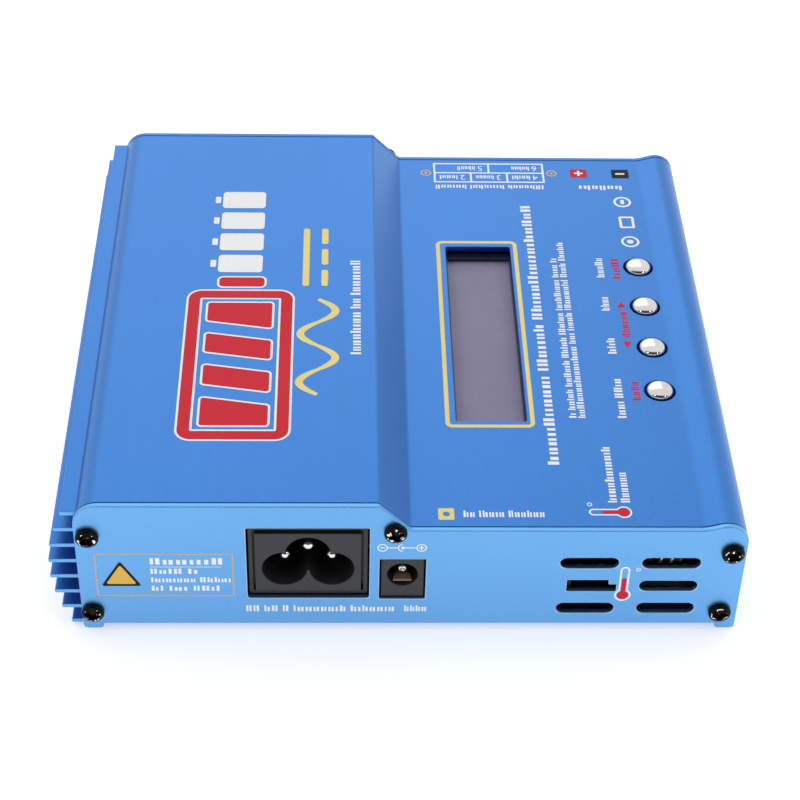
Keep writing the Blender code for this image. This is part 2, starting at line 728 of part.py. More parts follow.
def make_keys():
    cap_top = LOW_Z + KEY_STANDS
    flange_top = LOW_Z - SKIN - 0.4 * MM
    cap_foot = flange_top - 1.0 * MM
    side_top = cap_top - 0.55 * MM
    cap = [(radius, height) for radius, height in dome(KEY_RADIUS - 0.25 * MM, 0.35 * MM, 3)]
    cap = [(radius, height + side_top + 0.2 * MM - LOW_Z) for radius, height in cap]
    cap += [
        (KEY_RADIUS, side_top - LOW_Z),
        (KEY_RADIUS, flange_top - LOW_Z),
        (KEY_FLANGE_RADIUS, flange_top - LOW_Z),
        (KEY_FLANGE_RADIUS, cap_foot - LOW_Z),
        (0, cap_foot - LOW_Z),
    ]
    switch_half = 3.0 * MM
    switch_top = cap_foot - 3.2 * MM
    switch_z = (switch_top - 3.8 * MM, switch_top)
    well_radius = 2.0 * MM
    well_floor = switch_top - 1.6 * MM
    stem_radius = 1.65 * MM
    stem_foot = well_floor + 0.8 * MM
    stem_top = cap_foot - 0.1 * MM
    stem = [(0, stem_top), (stem_radius, stem_top), (stem_radius, stem_foot), (0, stem_foot)]
    for name, (x, y) in zip(KEY_NAMES, key_places()):
        axis = bpy.data.objects.new(f"{name}_key_axis", None)
        axis.location = (x, y, LOW_Z)
        into(PARTS, axis)
        button = turned(f"{name}_key_cap", cap, (0, 0, 0), mat=CHROME)
        button.parent = axis
        plunger = [(radius, height - LOW_Z) for radius, height in stem]
        turned(f"{name}_key_plunger", plunger, (0, 0, 0), mat=BLACK_PLASTIC).parent = axis
        x_range = (x - switch_half, x + switch_half)
        y_range = (y - switch_half, y + switch_half)
        body = box(f"{name}_key_switch", x_range, y_range, switch_z, BLACK_PLASTIC)
        well = [circle((x, y), well_radius)]
        cut(body, layer(f"{name}_switch_well", well, (well_floor, switch_top + MM), helper=True))
    last_y = KEY_FIRST_Y - (len(KEY_NAMES) - 1) * KEY_PITCH
    board_x = (KEY_X - 6 * MM, KEY_X + 6 * MM)
    board_y = (last_y - 8 * MM, KEY_FIRST_Y + 8 * MM)
    make_spaced_board("key_board", board_x, board_y, switch_z[0] - GAP, 2 * MM)


# ---------------------------------------------------------------- circuits inside


def make_lower_boards():
    z = (BOARD_Z, BOARD_TOP)
    box("power_board", POWER_BOARD_X, POWER_BOARD_Y, z, BOARD_GREEN)
    box("main_board", MAIN_BOARD_X, MAIN_BOARD_Y, z, BOARD_GREEN)


def make_transformer():
    seat = BOARD_TOP + GAP
    core_x = (-44 * MM, -18 * MM)
    core_z = (seat, seat + 20 * MM)
    core = box("transformer", core_x, (-6 * MM, 8 * MM), core_z, FERRITE, edge=0.4 * MM)
    winding = around((-31 * MM, 1 * MM), (19 * MM, 26 * MM), 3 * MM)
    winding_z = (seat + 2.5 * MM, seat + 17.5 * MM)
    join(core, layer("transformer_winding", [winding], winding_z, helper=True))


def make_capacitor():
    radius = 8 * MM
    length = 30 * MM
    edge = 0.8 * MM
    profile = [
        (0, length),
        (radius - edge, length),
        (radius, length - edge),
        (radius, 4 * MM),
        (radius - 0.7 * MM, 3.4 * MM),
        (radius, 2.8 * MM),
        (radius, edge),
        (radius - edge, 0),
        (0, 0),
    ]
    place = (-24 * MM, -12 * MM, BOARD_TOP + GAP + radius)
    turned("smoothing_capacitor", profile, place, ALONG_FRONT, BLACK_PLASTIC)


def ring_profile(radius, thickness):
    """An eight-sided section of a ring, as (radius, height) going down its outer side."""
    turns = [math.tau * (0.125 / 2 - step / 8) for step in range(8)]
    return [(radius + thickness * math.cos(a), thickness * math.sin(a)) for a in turns]


def make_choke():
    """A ring core inside a split winding, lying flat behind the upper right vent."""
    middle = (VENT_X[1], -54.6 * MM, 16.5 * MM)
    core_radius = 5.6 * MM
    outside = ring_profile(core_radius, 3.0 * MM)
    inside = ring_profile(core_radius, 1.9 * MM)
    core = ring_profile(core_radius, 1.5 * MM)
    split_x = (middle[0] - 2 * MM, middle[0] + 2 * MM)
    split_y = (middle[1], middle[1] + 10 * MM)
    split_z = (middle[2] - 4 * MM, middle[2] + 4 * MM)
    winding = turned("choke_winding", outside, middle, mat=COPPER, sides=16)
    cut(winding, turned("choke_hollow", inside, middle, helper=True, sides=16))
    cut(winding, box("choke_split", split_x, split_y, split_z, helper=True))
    turned("choke_core", core, middle, mat=FERRITE, sides=16)


def make_power_stage():
    """An aluminium angle along the finned wall, with two power transistors on it."""
    wall = LEFT + SIDE_WALL + GAP
    low = BOARD_TOP + GAP
    bar_y = (-32 * MM, 40 * MM)
    angle_section = [
        (wall, low),
        (wall + 6 * MM, low),
        (wall + 6 * MM, low + 1.6 * MM),
        (wall + 2 * MM, low + 1.6 * MM),
        (wall + 2 * MM, low + 14.6 * MM),
        (wall, low + 14.6 * MM),
    ]
    section("heat_spreader", [[Vector(point) for point in angle_section]], bar_y, RAW_ALUMINIUM)
    tab_x = wall + 2 * MM + GAP
    for number, y in enumerate((-16 * MM, 22 * MM), 1):
        name = f"power_transistor_{number}"
        half = 5 * MM
        tab_z = (low + 2.6 * MM, low + 14 * MM)
        package_y = (y - half + 0.3 * MM, y + half - 0.3 * MM)
        package_z = (low + 3 * MM, low + 10 * MM)
        body = box(name, (tab_x, tab_x + 1.3 * MM), (y - half, y + half), tab_z, STEEL)
        package = ((tab_x + 0.6 * MM, tab_x + 4.5 * MM), package_y, package_z)
        join(body, boxes(name + "_package", [package]))


def make_balance_headers():
    """White shrouded headers, their mouths to the rear, on an upright board of their own."""
    mouth = REAR - GAP
    back = mouth - HEADER_DEPTH
    for cells, (x, z) in header_places().items():
        make_header(f"balance_header_{cells}_cell", cells, (x, z), (back, mouth), 1)
    board_y = (back - GAP - BOARD, back - GAP)
    lowest_x = min(x for x, z in header_places().values())
    board_x = (lowest_x - 1 * MM, 2 * HEADERS_MIDDLE_X - lowest_x + 1 * MM)
    box("balance_board", board_x, board_y, (LEDGE_Z + 1 * MM, 25.5 * MM), BOARD_GREEN)


def make_header(name, cells, low_corner, y, facing):
    """A header with one more pin than cells; facing is 1 to the rear and -1 to the front."""
    x, z = low_corner
    width = header_width(cells)
    header = box(name, (x, x + width), y, (z, z + HEADER_HEIGHT), WHITE_PLASTIC)
    mouth = y[1] if facing > 0 else y[0]
    floor = mouth - facing * (HEADER_DEPTH - 1.2 * MM)
    beyond = mouth + facing * MM
    depth = (min(floor, beyond), max(floor, beyond))
    inner_x = (x + HEADER_WALL, x + width - HEADER_WALL)
    inner_z = (z + HEADER_WALL, z + HEADER_HEIGHT - HEADER_WALL)
    key_depth = (min(mouth - facing * 3 * MM, beyond), max(mouth - facing * 3 * MM, beyond))
    key_z = (z + HEADER_HEIGHT - 2 * HEADER_WALL, z + HEADER_HEIGHT + MM)
    hollows = [(inner_x, depth, inner_z)]
    cut(header, boxes(name + "_hollow", hollows))
    keys = [
        ((x + 2 * MM, x + 3.2 * MM), key_depth, key_z),
        ((x + width - 3.2 * MM, x + width - 2 * MM), key_depth, key_z),
    ]
    cut(header, boxes(name + "_keyways", keys))
    half = 0.32 * MM
    pin_tip = mouth - facing * 1.6 * MM
    pin_root = floor - facing * 0.6 * MM
    pin_y = (min(pin_tip, pin_root), max(pin_tip, pin_root))
    middle_z = z + HEADER_HEIGHT / 2
    pins = []
    for number in range(cells + 1):
        pin_x = x + HEADER_END + number * HEADER_PITCH
        pins.append(((pin_x - half, pin_x + half), pin_y, (middle_z - half, middle_z + half)))
    join(header, boxes(name + "_pins", pins))


def make_sensor_header():
    """The three-pin header behind the keyed opening of the front plate."""
    cells = 2
    x = (PORT_X[0] + PORT_X[1]) / 2 - header_width(cells) / 2
    front = FRONT + PLATE + GAP
    make_header("sensor_header", cells, (x, BOARD_TOP + GAP), (front, front + HEADER_DEPTH), -1)


def make_outputs():
    """Two round output sockets, each an insulating housing with a metal sleeve in it."""
    flange = 1.5 * MM
    flange_radius = 4.9 * MM
    body_radius = OUTPUT_HOLE_RADIUS - GAP
    bore_radius = 3.1 * MM
    body_length = 14 * MM
    sleeve_radius = bore_radius - GAP
    sleeve_bore = 2.05 * MM
    housing = [
        (bore_radius, flange),
        (flange_radius - 0.4 * MM, flange),
        (flange_radius, flange - 0.4 * MM),
        (flange_radius, 0.1 * MM),
        (body_radius, 0.1 * MM),
        (body_radius, -body_length),
        (bore_radius, -body_length),
    ]
    sleeve = [
        (sleeve_bore, -0.5 * MM),
        (sleeve_radius, -0.5 * MM),
        (sleeve_radius, -body_length - 3 * MM),
        (sleeve_bore, -body_length - 3 * MM),
    ]
    for pole, x in OUTPUT_X.items():
        mat = RED_PLASTIC if pole == "positive" else BLACK_PLASTIC
        place = (x, REAR, OUTPUT_Z)
        turned(f"output_socket_{pole}", housing, place, ALONG_REAR, mat)
        turned(f"output_sleeve_{pole}", sleeve, place, ALONG_REAR, PLATED)


make_upper_shell()
make_base_plate()
make_feet()
make_end_plates()
make_screws()
make_mains_inlet()
make_jack()
make_display()
make_keys()
make_lower_boards()
make_transformer()
make_capacitor()
make_choke()
make_power_stage()
make_balance_headers()
make_sensor_header()
make_outputs()
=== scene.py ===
"""Looks of a balance battery charger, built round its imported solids. Lengths are in millimetres
until a mesh is made; the frame itself is in metres."""

import math
import random

import bmesh
import bpy
from mathutils import Matrix, Vector


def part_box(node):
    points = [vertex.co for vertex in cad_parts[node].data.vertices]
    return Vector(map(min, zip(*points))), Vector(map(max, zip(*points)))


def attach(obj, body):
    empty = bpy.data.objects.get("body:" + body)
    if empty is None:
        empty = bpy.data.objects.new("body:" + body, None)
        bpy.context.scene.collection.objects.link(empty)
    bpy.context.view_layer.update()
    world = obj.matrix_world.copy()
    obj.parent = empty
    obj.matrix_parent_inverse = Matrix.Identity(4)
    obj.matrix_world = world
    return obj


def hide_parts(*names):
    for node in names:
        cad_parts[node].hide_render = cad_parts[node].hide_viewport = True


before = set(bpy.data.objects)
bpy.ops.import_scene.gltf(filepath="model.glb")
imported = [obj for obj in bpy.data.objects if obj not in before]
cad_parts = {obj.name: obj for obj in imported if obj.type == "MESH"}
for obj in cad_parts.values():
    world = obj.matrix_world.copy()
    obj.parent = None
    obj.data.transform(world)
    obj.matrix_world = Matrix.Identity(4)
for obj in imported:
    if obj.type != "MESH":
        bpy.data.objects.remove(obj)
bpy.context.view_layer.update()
MM = 0.001

# The case, as its solids have it
WIDTH, DEPTH, HEIGHT = 144.0, 135.0, 36.0
PLATE, SEAM, GAP = 1.2, 0.2, 0.3
BASE_Z, RAIL_Z, RAIL_WIDTH = 2.0, 0.6, 4.3
LOW_Z = HEIGHT - 6.7
CREST_Z = LOW_Z + 1.1
SKIN = 1.5
RIGHT, LEFT = WIDTH / 2, -WIDTH / 2 + 6.0
FRONT, REAR = -DEPTH / 2, DEPTH / 2
LEFT_CORNER, RIGHT_CORNER = 5.3, 4.6
FINS, FIN_THICKNESS, FIN_FOOT_Z, TOP_FIN_Z = 8, 1.0, 0.9, 33.2
FIN_PITCH = (TOP_FIN_Z - FIN_FOOT_Z - FIN_THICKNESS) / (FINS - 1)
SCREW_PLACES = ((-63.3, 27.6), (-63.7, 5.7), (-0.6, 29.0), (69.1, 23.1), (68.3, 5.7))
INLET_CENTRE, INLET_SIZE = (-18.5, 19.8), (25.3, 20.2)
JACK_CENTRE, JACK_SIZE = (1.05, 15.25), (9.6, 11.6)
VENT_X, VENT_Z, VENT_SIZE = (39.7, 56.7), (6.65, 13.3, 20.0), (12.2, 3.0)
PORT_X, PORT_Z = (35.4, 45.8), (11.7, 15.0)
WINDOW = ((13.0, 28.4), (-33.6, 29.5))
KEY_X, KEY_Y = 58.4, (21.7, 6.7, -8.3, -23.3)
KEY_NAMES = ("start", "increase", "decrease", "stop")
HEADER_ROWS = ((9.6, (5, 6)), (18.2, (2, 3, 4)))
HEADER_PITCH, HEADER_END, HEADER_HEIGHT, HEADER_DEPTH = 2.5, 2.45, 5.75, 7.0
HEADERS_MIDDLE, HEADER_SPACING = 21.1, 1.5
OUTPUT_X, OUTPUT_Z = {"negative": 59.3, "positive": 47.3}, 16.0

# How finely arcs are drawn, and the angle at which an edge stays sharp
ARC_ERROR = 0.004
SHARP = math.radians(48)

# The studio, in metres, watts and degrees: where the tent is dim, and each lamp's place, size, power
CAMERA_PLACE, CAMERA_TURN, CAMERA_LENS = (-0.01141, -0.36552, 0.32176), (49.206, -1.162, -1.102), 92.3
DIM_SQUEEZE, DIM_DIRECTION = (0.32, 1, 1), (0, -0.72, 0.69)
LAMPS = (
    ("softbox_back", (-0.15, 1.0, 0.75), (0.9, 0.5), 1.17),
    ("lamp_left", (-0.75, -0.65, 0.9), (0.08, 0.08), 1.29),
    ("lamp_right", (0.75, -0.6, 0.8), (0.08, 0.08), 0.94),
)


# ---- camera, lights and floor


def make_camera():
    camera = bpy.data.cameras.new("camera")
    camera.lens = CAMERA_LENS
    camera.sensor_width = 36
    camera.clip_start = 0.01
    camera.clip_end = 20
    obj = new_piece("camera", camera)
    obj.location = CAMERA_PLACE
    obj.rotation_euler = [math.radians(turn) for turn in CAMERA_TURN]
    bpy.context.scene.camera = obj


def make_softbox(name, place, size, power):
    lamp = bpy.data.lights.new(name, "AREA")
    lamp.shape = "RECTANGLE"
    lamp.size, lamp.size_y = size
    lamp.energy = power
    obj = new_piece(name, lamp)
    obj.location = place
    obj.rotation_euler = (Vector((0, 0, 0.02)) - Vector(place)).to_track_quat("-Z", "Y").to_euler()


def feed(tree, socket, value):
    """Links an output to a socket, or sets the socket's own value."""
    if isinstance(value, bpy.types.NodeSocket):
        tree.links.new(value, socket)
    else:
        socket.default_value = value


def add_node(tree, kind, settings=(), places=(), **inputs):
    """A shader node whose inputs are given by place or by name."""
    made = tree.nodes.new("ShaderNode" + kind)
    for name, value in dict(settings).items():
        setattr(made, name, value)
    named = {name.replace("_", " "): value for name, value in inputs.items()}
    for key, value in (*enumerate(places), *named.items()):
        feed(tree, made.inputs[key], value)
    return made


def make_studio():
    """A white tent, dimmer behind the camera, which the camera itself sees as plain white."""
    world = bpy.data.worlds.new("studio")
    world.use_nodes = True
    tree = world.node_tree
    place = add_node(tree, "TexCoord").outputs["Generated"]
    squeezed = add_node(tree, "VectorMath", {"operation": "MULTIPLY"}, (place, DIM_SQUEEZE))
    direction = add_node(tree, "VectorMath", {"operation": "NORMALIZE"}, [squeezed.outputs["Vector"]])
    along = (direction.outputs["Vector"], DIM_DIRECTION)
    toward_camera = add_node(tree, "VectorMath", {"operation": "DOT_PRODUCT"}, along)
    dim = add_node(
        tree,
        "MapRange",
        {"interpolation_type": "SMOOTHSTEP"},
        Value=toward_camera.outputs["Value"],
        From_Min=0.8,
        From_Max=0.93,
        To_Min=1.0,
        To_Max=0.07,
    )
    sky = tree.nodes["Background"]
    feed(tree, sky.inputs["Color"], (0.98, 0.99, 1, 1))
    feed(tree, sky.inputs["Strength"], dim.outputs["Result"])
    plain = add_node(tree, "Background", Color=(1, 1, 1, 1))
    seen = add_node(tree, "LightPath").outputs["Is Camera Ray"]
    shown = (seen, sky.outputs["Background"], plain.outputs["Background"])
    mix = add_node(tree, "MixShader", (), shown)
    feed(tree, tree.nodes["World Output"].inputs["Surface"], mix.outputs["Shader"])
    bpy.context.scene.world = world
    bpy.context.scene.view_settings.view_transform = "Standard"
    for lamp in LAMPS:
        make_softbox(*lamp)


def make_floor():
    mesh = bpy.data.meshes.new("floor")
    shape = bmesh.new()
    bmesh.ops.create_grid(shape, x_segments=1, y_segments=1, size=4)
    shape.to_mesh(mesh)
    shape.free()
    glow = {"Specular_IOR_Level": 0.1, "Emission_Color": (1, 1, 1, 1), "Emission_Strength": 0.5}
    floor = new_piece("floor", mesh, Graph("pale_floor", (0.9, 0.9, 0.9), 0.9, **glow).material)


# ---- materials


class Graph:
    """A material whose Principled surface is fed by texture nodes."""

    def __init__(self, name, colour, roughness, metallic=0.0, **settings):
        self.material = bpy.data.materials.new(name)
        self.material.use_nodes = True
        self.tree = self.material.node_tree
        self.surface = self.tree.nodes["Principled BSDF"]
        self.colour = (*colour, 1)
        self.surface.inputs["Base Color"].default_value = self.colour
        self.surface.inputs["Roughness"].default_value = roughness
        self.surface.inputs["Metallic"].default_value = metallic
        for socket, value in settings.items():
            self.surface.inputs[socket.replace("_", " ")].default_value = value
        self.place = self.tree.nodes.new("ShaderNodeTexCoord").outputs["Object"]

    def node(self, kind, settings=(), places=(), **inputs):
        return add_node(self.tree, kind, settings, places, **inputs)

    def mapped(self, scale):
        return self.node("Mapping", Vector=self.place, Scale=scale).outputs["Vector"]

    def noise(self, scale, detail=2.0, stretch=(1, 1, 1)):
        """Noise of this many features a metre, drawn out along an axis by stretch."""
        vector = self.mapped(stretch)
        return self.node("TexNoise", Vector=vector, Scale=scale, Detail=detail).outputs["Fac"]

    def bricks(self, colours, size, settings=(), **inputs):
        """Two brick colours and the mortar's, in bricks of this width and height in millimetres."""
        names = ("Color1", "Color2", "Mortar")
        inputs.update({name: (*colour, 1) for name, colour in zip(names, colours)})
        inputs.update(Scale=1.0, Brick_Width=size[0], Row_Height=size[1])
        return self.node("TexBrick", settings, [self.mapped((1 / MM,) * 3)], **inputs).outputs["Color"]

    def spread(self, value, low, high):
        """Noise, whose values lie mostly from 0.3 to 0.7, drawn out to the range given."""
        limits = {"From_Min": 0.3, "From_Max": 0.7, "To_Min": low, "To_Max": high}
        return self.node("MapRange", Value=value, **limits).outputs["Result"]

    def paint(self, colour):
        feed(self.tree, self.surface.inputs["Base Color"], colour)

    def tint(self, value, darkest, lightest, over=None):
        """Varies the colour, or another one, by a factor that follows value."""
        colour = self.colour[:3] if over is None else over
        factor = self.spread(value, darkest, lightest)
        scaled = self.node("VectorMath", {"operation": "SCALE"}, [colour], Scale=factor)
        self.paint(scaled.outputs["Vector"])
        return scaled.outputs["Vector"]

    def blend(self, factor, first, second):
        mix = self.node("Mix", {"data_type": "RGBA"})
        for socket, value in ((0, factor), (6, first), (7, second)):
            feed(self.tree, mix.inputs[socket], value)
        return mix.outputs[2]

    def polish(self, value, low, high):
        feed(self.tree, self.surface.inputs["Roughness"], self.spread(value, low, high))

    def bump(self, height, depth, strength=1.0):
        """Bumps this deep, in millimetres."""
        made = self.node("Bump", Height=height, Strength=strength, Distance=depth * MM)
        normal = self.surface.inputs["Normal"]
        if normal.is_linked:
            self.tree.links.new(normal.links[0].from_socket, made.inputs["Normal"])
        self.tree.links.new(made.outputs["Normal"], normal)


def anodised(name, colour, roughness, streaks):
    """Blasted and anodised aluminium: fine grain, a slow drift of tone, and die lines along Y."""
    graph = Graph(name, colour, roughness, 0.9, Coat_Weight=0.3, Coat_Roughness=0.3)
    grain = graph.noise(3600, 2)
    drift = graph.noise(18, 3)
    lines = graph.noise(1, 3, (700, 5, 700))
    toned = graph.tint(drift, 0.97, 1.03)
    lined = graph.tint(lines, 1 - streaks, 1 + streaks, toned)
    graph.tint(grain, 0.88, 1.12, lined)
    graph.polish(grain, roughness - 0.05, roughness + 0.06)
    graph.bump(grain, 0.012, 0.35)
    graph.bump(lines, 0.01, 0.25)
    return graph.material


def moulded(name, colour, roughness, depth=0.012, **settings):
    """Moulded plastic or rubber, with a finely eroded skin."""
    graph = Graph(name, colour, roughness, **settings)
    skin = graph.noise(2600, 3)
    drift = graph.noise(60, 3)
    graph.tint(drift, 0.93, 1.07)
    graph.polish(skin, roughness - 0.05, roughness + 0.07)
    graph.bump(skin, depth, 0.5)
    return graph.material


def metal(name, colour, roughness, depth=0.004, stretch=(1, 1, 1)):
    """Bare, plated or blackened metal, with faint handling marks."""
    graph = Graph(name, colour, roughness, 1.0)
    marks = graph.noise(900, 4, stretch)
    graph.tint(graph.noise(250, 3), 0.94, 1.06)
    graph.polish(marks, max(0.03, roughness - 0.05), roughness + 0.07)
    graph.bump(marks, depth, 0.4)
    return graph.material


def worn_steel():
    """Blackened steel with painted glints: a few spots of bright metal that stand in for lamp glints."""
    graph = Graph("worn_steel", (0.95, 0.93, 0.91), 0.2, 0.9)
    glint_spots = graph.node("MapRange", Value=graph.noise(1300, 1), From_Min=0.56, From_Max=0.61)
    graph.paint(graph.blend(glint_spots.outputs["Result"], (0.003, 0.003, 0.004, 1), graph.colour))
    graph.polish(graph.noise(900, 2), 0.15, 0.27)
    return graph.material


def ink(name, colour):
    """Screen-printed ink, a little uneven in cover."""
    graph = Graph(name, colour, 0.5, Specular_IOR_Level=0.2)
    cover = graph.noise(2500, 3)
    graph.tint(cover, 0.94, 1.05)
    graph.polish(cover, 0.42, 0.6)
    return graph.material


def display_glass():
    """An idle character display: faint cells under clear glass."""
    graph = Graph("idle_display", (0.238, 0.212, 0.333), 0.3, Specular_IOR_Level=0.3)
    colours = (graph.colour[:3], (0.236, 0.21, 0.33), (0.241, 0.215, 0.337))
    straight = {"offset": 0.0, "squash": 1.0}
    cells = graph.bricks(colours, (6.0, 3.6), straight, Mortar_Size=0.25, Mortar_Smooth=0.3)
    graph.tint(graph.noise(90, 2), 0.97, 1.03, cells)
    graph.polish(graph.noise(400, 2), 0.26, 0.34)
    return graph.material


def circuit_board():
    """Green solder mask over copper tracks, with tinned pads; the mask and tracks are darkened almost to
    black as painted shade inside the case.
    """
    graph = Graph("circuit_board", (0.002, 0.015, 0.007), 0.4, Specular_IOR_Level=0.2)
    pads = graph.node("TexVoronoi", Vector=graph.place, Scale=330.0).outputs["Distance"]
    colours = (graph.colour[:3], (0.002, 0.013, 0.006), (0.004, 0.026, 0.012))
    tracks = graph.bricks(colours, (7.0, 2.4), Mortar_Size=0.18)
    is_pad = graph.node("Math", {"operation": "LESS_THAN"}, (pads, 0.16)).outputs[0]
    graph.paint(graph.blend(is_pad, tracks, (0.55, 0.54, 0.5, 1)))
    graph.bump(graph.noise(1500, 2), 0.01, 0.3)
    return graph.material


COVER_BLUE = anodised("cover_blue", (0.036, 0.192, 0.56), 0.42, 0.012)
OPENING_SHADE_BLUE = anodised("opening_shade_blue", (0.017, 0.07, 0.5), 0.45, 0.0)
PLATE_BLUE = anodised("plate_blue", (0.141, 0.405, 0.785), 0.4, 0.0)
BLACK_STEEL = moulded("black_steel", (0.003, 0.003, 0.004), 0.14, 0.001, Specular_IOR_Level=0.1)
GLINT_STEEL = worn_steel()
BLACK_PLASTIC = moulded("black_plastic", (0.018, 0.017, 0.02), 0.4)
BEZEL_BLACK = moulded("bezel_black", (0.009, 0.012, 0.034), 0.3, 0.003)
SWITCH_PLASTIC = moulded("switch_plastic", (0.03, 0.03, 0.033), 0.5)
WHITE_NYLON = moulded("white_nylon", (0.76, 0.73, 0.66), 0.45, 0.01, Subsurface_Weight=0.1)
RED_PLASTIC = moulded("red_plastic", (0.52, 0.015, 0.018), 0.3)
RUBBER = moulded("foot_rubber", (0.028, 0.028, 0.029), 0.78, 0.03)
NICKEL = metal("nickel", (0.82, 0.8, 0.76), 0.14)
CHROME = metal("chrome", (0.7, 0.67, 0.66), 0.1, 0.001)
ZINC = metal("zinc", (0.56, 0.57, 0.58), 0.34)
RAW_ALUMINIUM = metal("raw_aluminium", (0.66, 0.67, 0.68), 0.42, 0.008, (1, 0.05, 1))
EDGE_HIGHLIGHT = metal("edge_highlight", (0.48, 0.63, 0.82), 0.35)
COPPER = metal("enamelled_copper", (0.98, 0.5, 0.25), 0.3)
BRASS_LEAF = moulded("contact_leaf", (0.34, 0.19, 0.15), 0.4, 0.003)
FERRITE = moulded("ferrite", (0.045, 0.045, 0.05), 0.55, 0.03)
SLEEVE_BLACK = moulded("capacitor_sleeve", (0.02, 0.022, 0.03), 0.28)
DISPLAY = display_glass()
SHADED_BOARD_GREEN = circuit_board()
WHITE_INK = ink("white_ink", (0.97, 0.97, 0.98))
YELLOW_INK = ink("yellow_ink", (0.93, 0.76, 0.27))
RED_INK = ink("red_ink", (0.68, 0.013, 0.031))
AMBER_INK = ink("amber_ink", (0.85, 0.52, 0.1))
BLACK_INK = ink("black_ink", (0.005, 0.005, 0.008))
ORANGE_INK = ink("orange_ink", (0.66, 0.49, 0.3))


# ---- outlines


def fillet(corners):
    """The outline through corners (x, y) or (x, y, radius), each radius drawn as an arc."""
    points = []
    for index, corner in enumerate(corners):
        here = Vector(corner[:2])
        radius = corner[2] if len(corner) > 2 else 0
        if radius == 0:
            points.append(here)
            continue
        before = (Vector(corners[index - 1][:2]) - here).normalized()
        after = (Vector(corners[(index + 1) % len(corners)][:2]) - here).normalized()
        half = before.angle(after) / 2
        centre = here + (before + after).normalized() * (radius / math.sin(half))
        start = here + before * (radius / math.tan(half)) - centre
        turn = start.angle_signed(here + after * (radius / math.tan(half)) - centre)
        steps = max(2, math.ceil(abs(turn) / (2 * math.acos(1 - ARC_ERROR / radius))))
        for step in range(steps + 1):
            points.append(centre + Matrix.Rotation(-turn * step / steps, 2) @ start)
    return points


def arc(centre, radius, turns):
    return [Vector(centre) + radius * Vector((math.cos(a), math.sin(a))) for a in turns]


def circle(centre, radius):
    sides = max(24, 4 * math.ceil(math.tau / (2 * math.acos(1 - ARC_ERROR / radius)) / 4))
    return arc(centre, radius, [math.tau * step / sides for step in range(sides)])


def rectangle(x, y, radius=0.0):
    corners = ((x[0], y[0]), (x[1], y[0]), (x[1], y[1]), (x[0], y[1]))
    return fillet([(*corner, radius) for corner in corners])


def around(centre, size, radius=0.0):
    x = (centre[0] - size[0] / 2, centre[0] + size[0] / 2)
    y = (centre[1] - size[1] / 2, centre[1] + size[1] / 2)
    return rectangle(x, y, radius)


def cross_outline(arm, tip, root):
    corners = []
    for turn in range(4):
        quarter = Matrix.Rotation(turn * math.pi / 2, 2)
        for point in ((arm, -tip), (arm, tip), (root, root)):
            corners.append(quarter @ Vector(point))
    return corners


def moved(outlines, origin=(0, 0), turn=0.0):
    """Outlines turned by this many degrees, then put at the origin given."""
    rotation = Matrix.Rotation(math.radians(turn), 2)
    return [[Vector(origin) + rotation @ Vector(p) for p in outline] for outline in outlines]


# ---- solids


def new_piece(name, mesh, material=None):
    obj = bpy.data.objects.new(name, mesh)
    bpy.context.scene.collection.objects.link(obj)
    if material is not None:
        obj.data.materials.append(material)
    return obj


def evaluated_mesh(obj):
    bpy.context.view_layer.update()
    graph = bpy.context.evaluated_depsgraph_get()
    mesh = bpy.data.meshes.new_from_object(obj.evaluated_get(graph), depsgraph=graph)
    mesh.transform(obj.matrix_world)
    return mesh


def discard(obj):
    data = obj.data
    bpy.data.objects.remove(obj, do_unlink=True)
    if data is not None and data.users == 0 and isinstance(data, bpy.types.Curve):
        bpy.data.curves.remove(data)


def flattened(obj, material=None):
    """Applies every modifier: a plain mesh in the frame's coordinates, in this material."""
    name = obj.name
    mesh = evaluated_mesh(obj)
    discard(obj)
    mesh.name = name
    mesh.materials.clear()
    return new_piece(name, mesh, material)


def shade(obj):
    """Smooth shading in which flat faces stay flat up to the arcs beside them."""
    obj.data.shade_smooth()
    obj.data.set_sharp_from_angle(angle=SHARP)
    even = obj.modifiers.new("even_normals", "WEIGHTED_NORMAL")
    even.keep_sharp = True
    return obj


def prism(name, outlines, span, facing, material=None, edge=0.1, rounds=1):
    """A flat outline with holes, given a thickness along Z ("up") or Y ("front") and soft edges."""
    curve = bpy.data.curves.new(name, "CURVE")
    curve.dimensions = "2D"
    curve.fill_mode = "BOTH"
    curve.extrude = ((span[1] - span[0]) / 2 - edge) * MM
    curve.bevel_depth = edge * MM
    curve.bevel_resolution = rounds
    curve.offset = -edge * MM
    for outline in outlines:
        spline = curve.splines.new("POLY")
        spline.points.add(len(outline) - 1)
        for point, place in zip(spline.points, outline):
            point.co = (place[0] * MM, place[1] * MM, 0, 1)
        spline.use_cyclic_u = True
    drawn = new_piece(name, curve)
    middle = (span[0] + span[1]) / 2 * MM
    if facing == "up":
        drawn.location = (0, 0, middle)
    else:
        drawn.location = (0, middle, 0)
        drawn.rotation_euler = (math.pi / 2, 0, 0)
    made = flattened(drawn, material)
    shape = bmesh.new()
    shape.from_mesh(made.data)
    bmesh.ops.remove_doubles(shape, verts=shape.verts, dist=1e-7)
    bmesh.ops.recalc_face_normals(shape, faces=shape.faces)
    shape.to_mesh(made.data)
    shape.free()
    return made


def block(name, x, y, z, material=None, edge=0.15):
    return prism(name, [rectangle(x, y)], z, "up", material, edge)


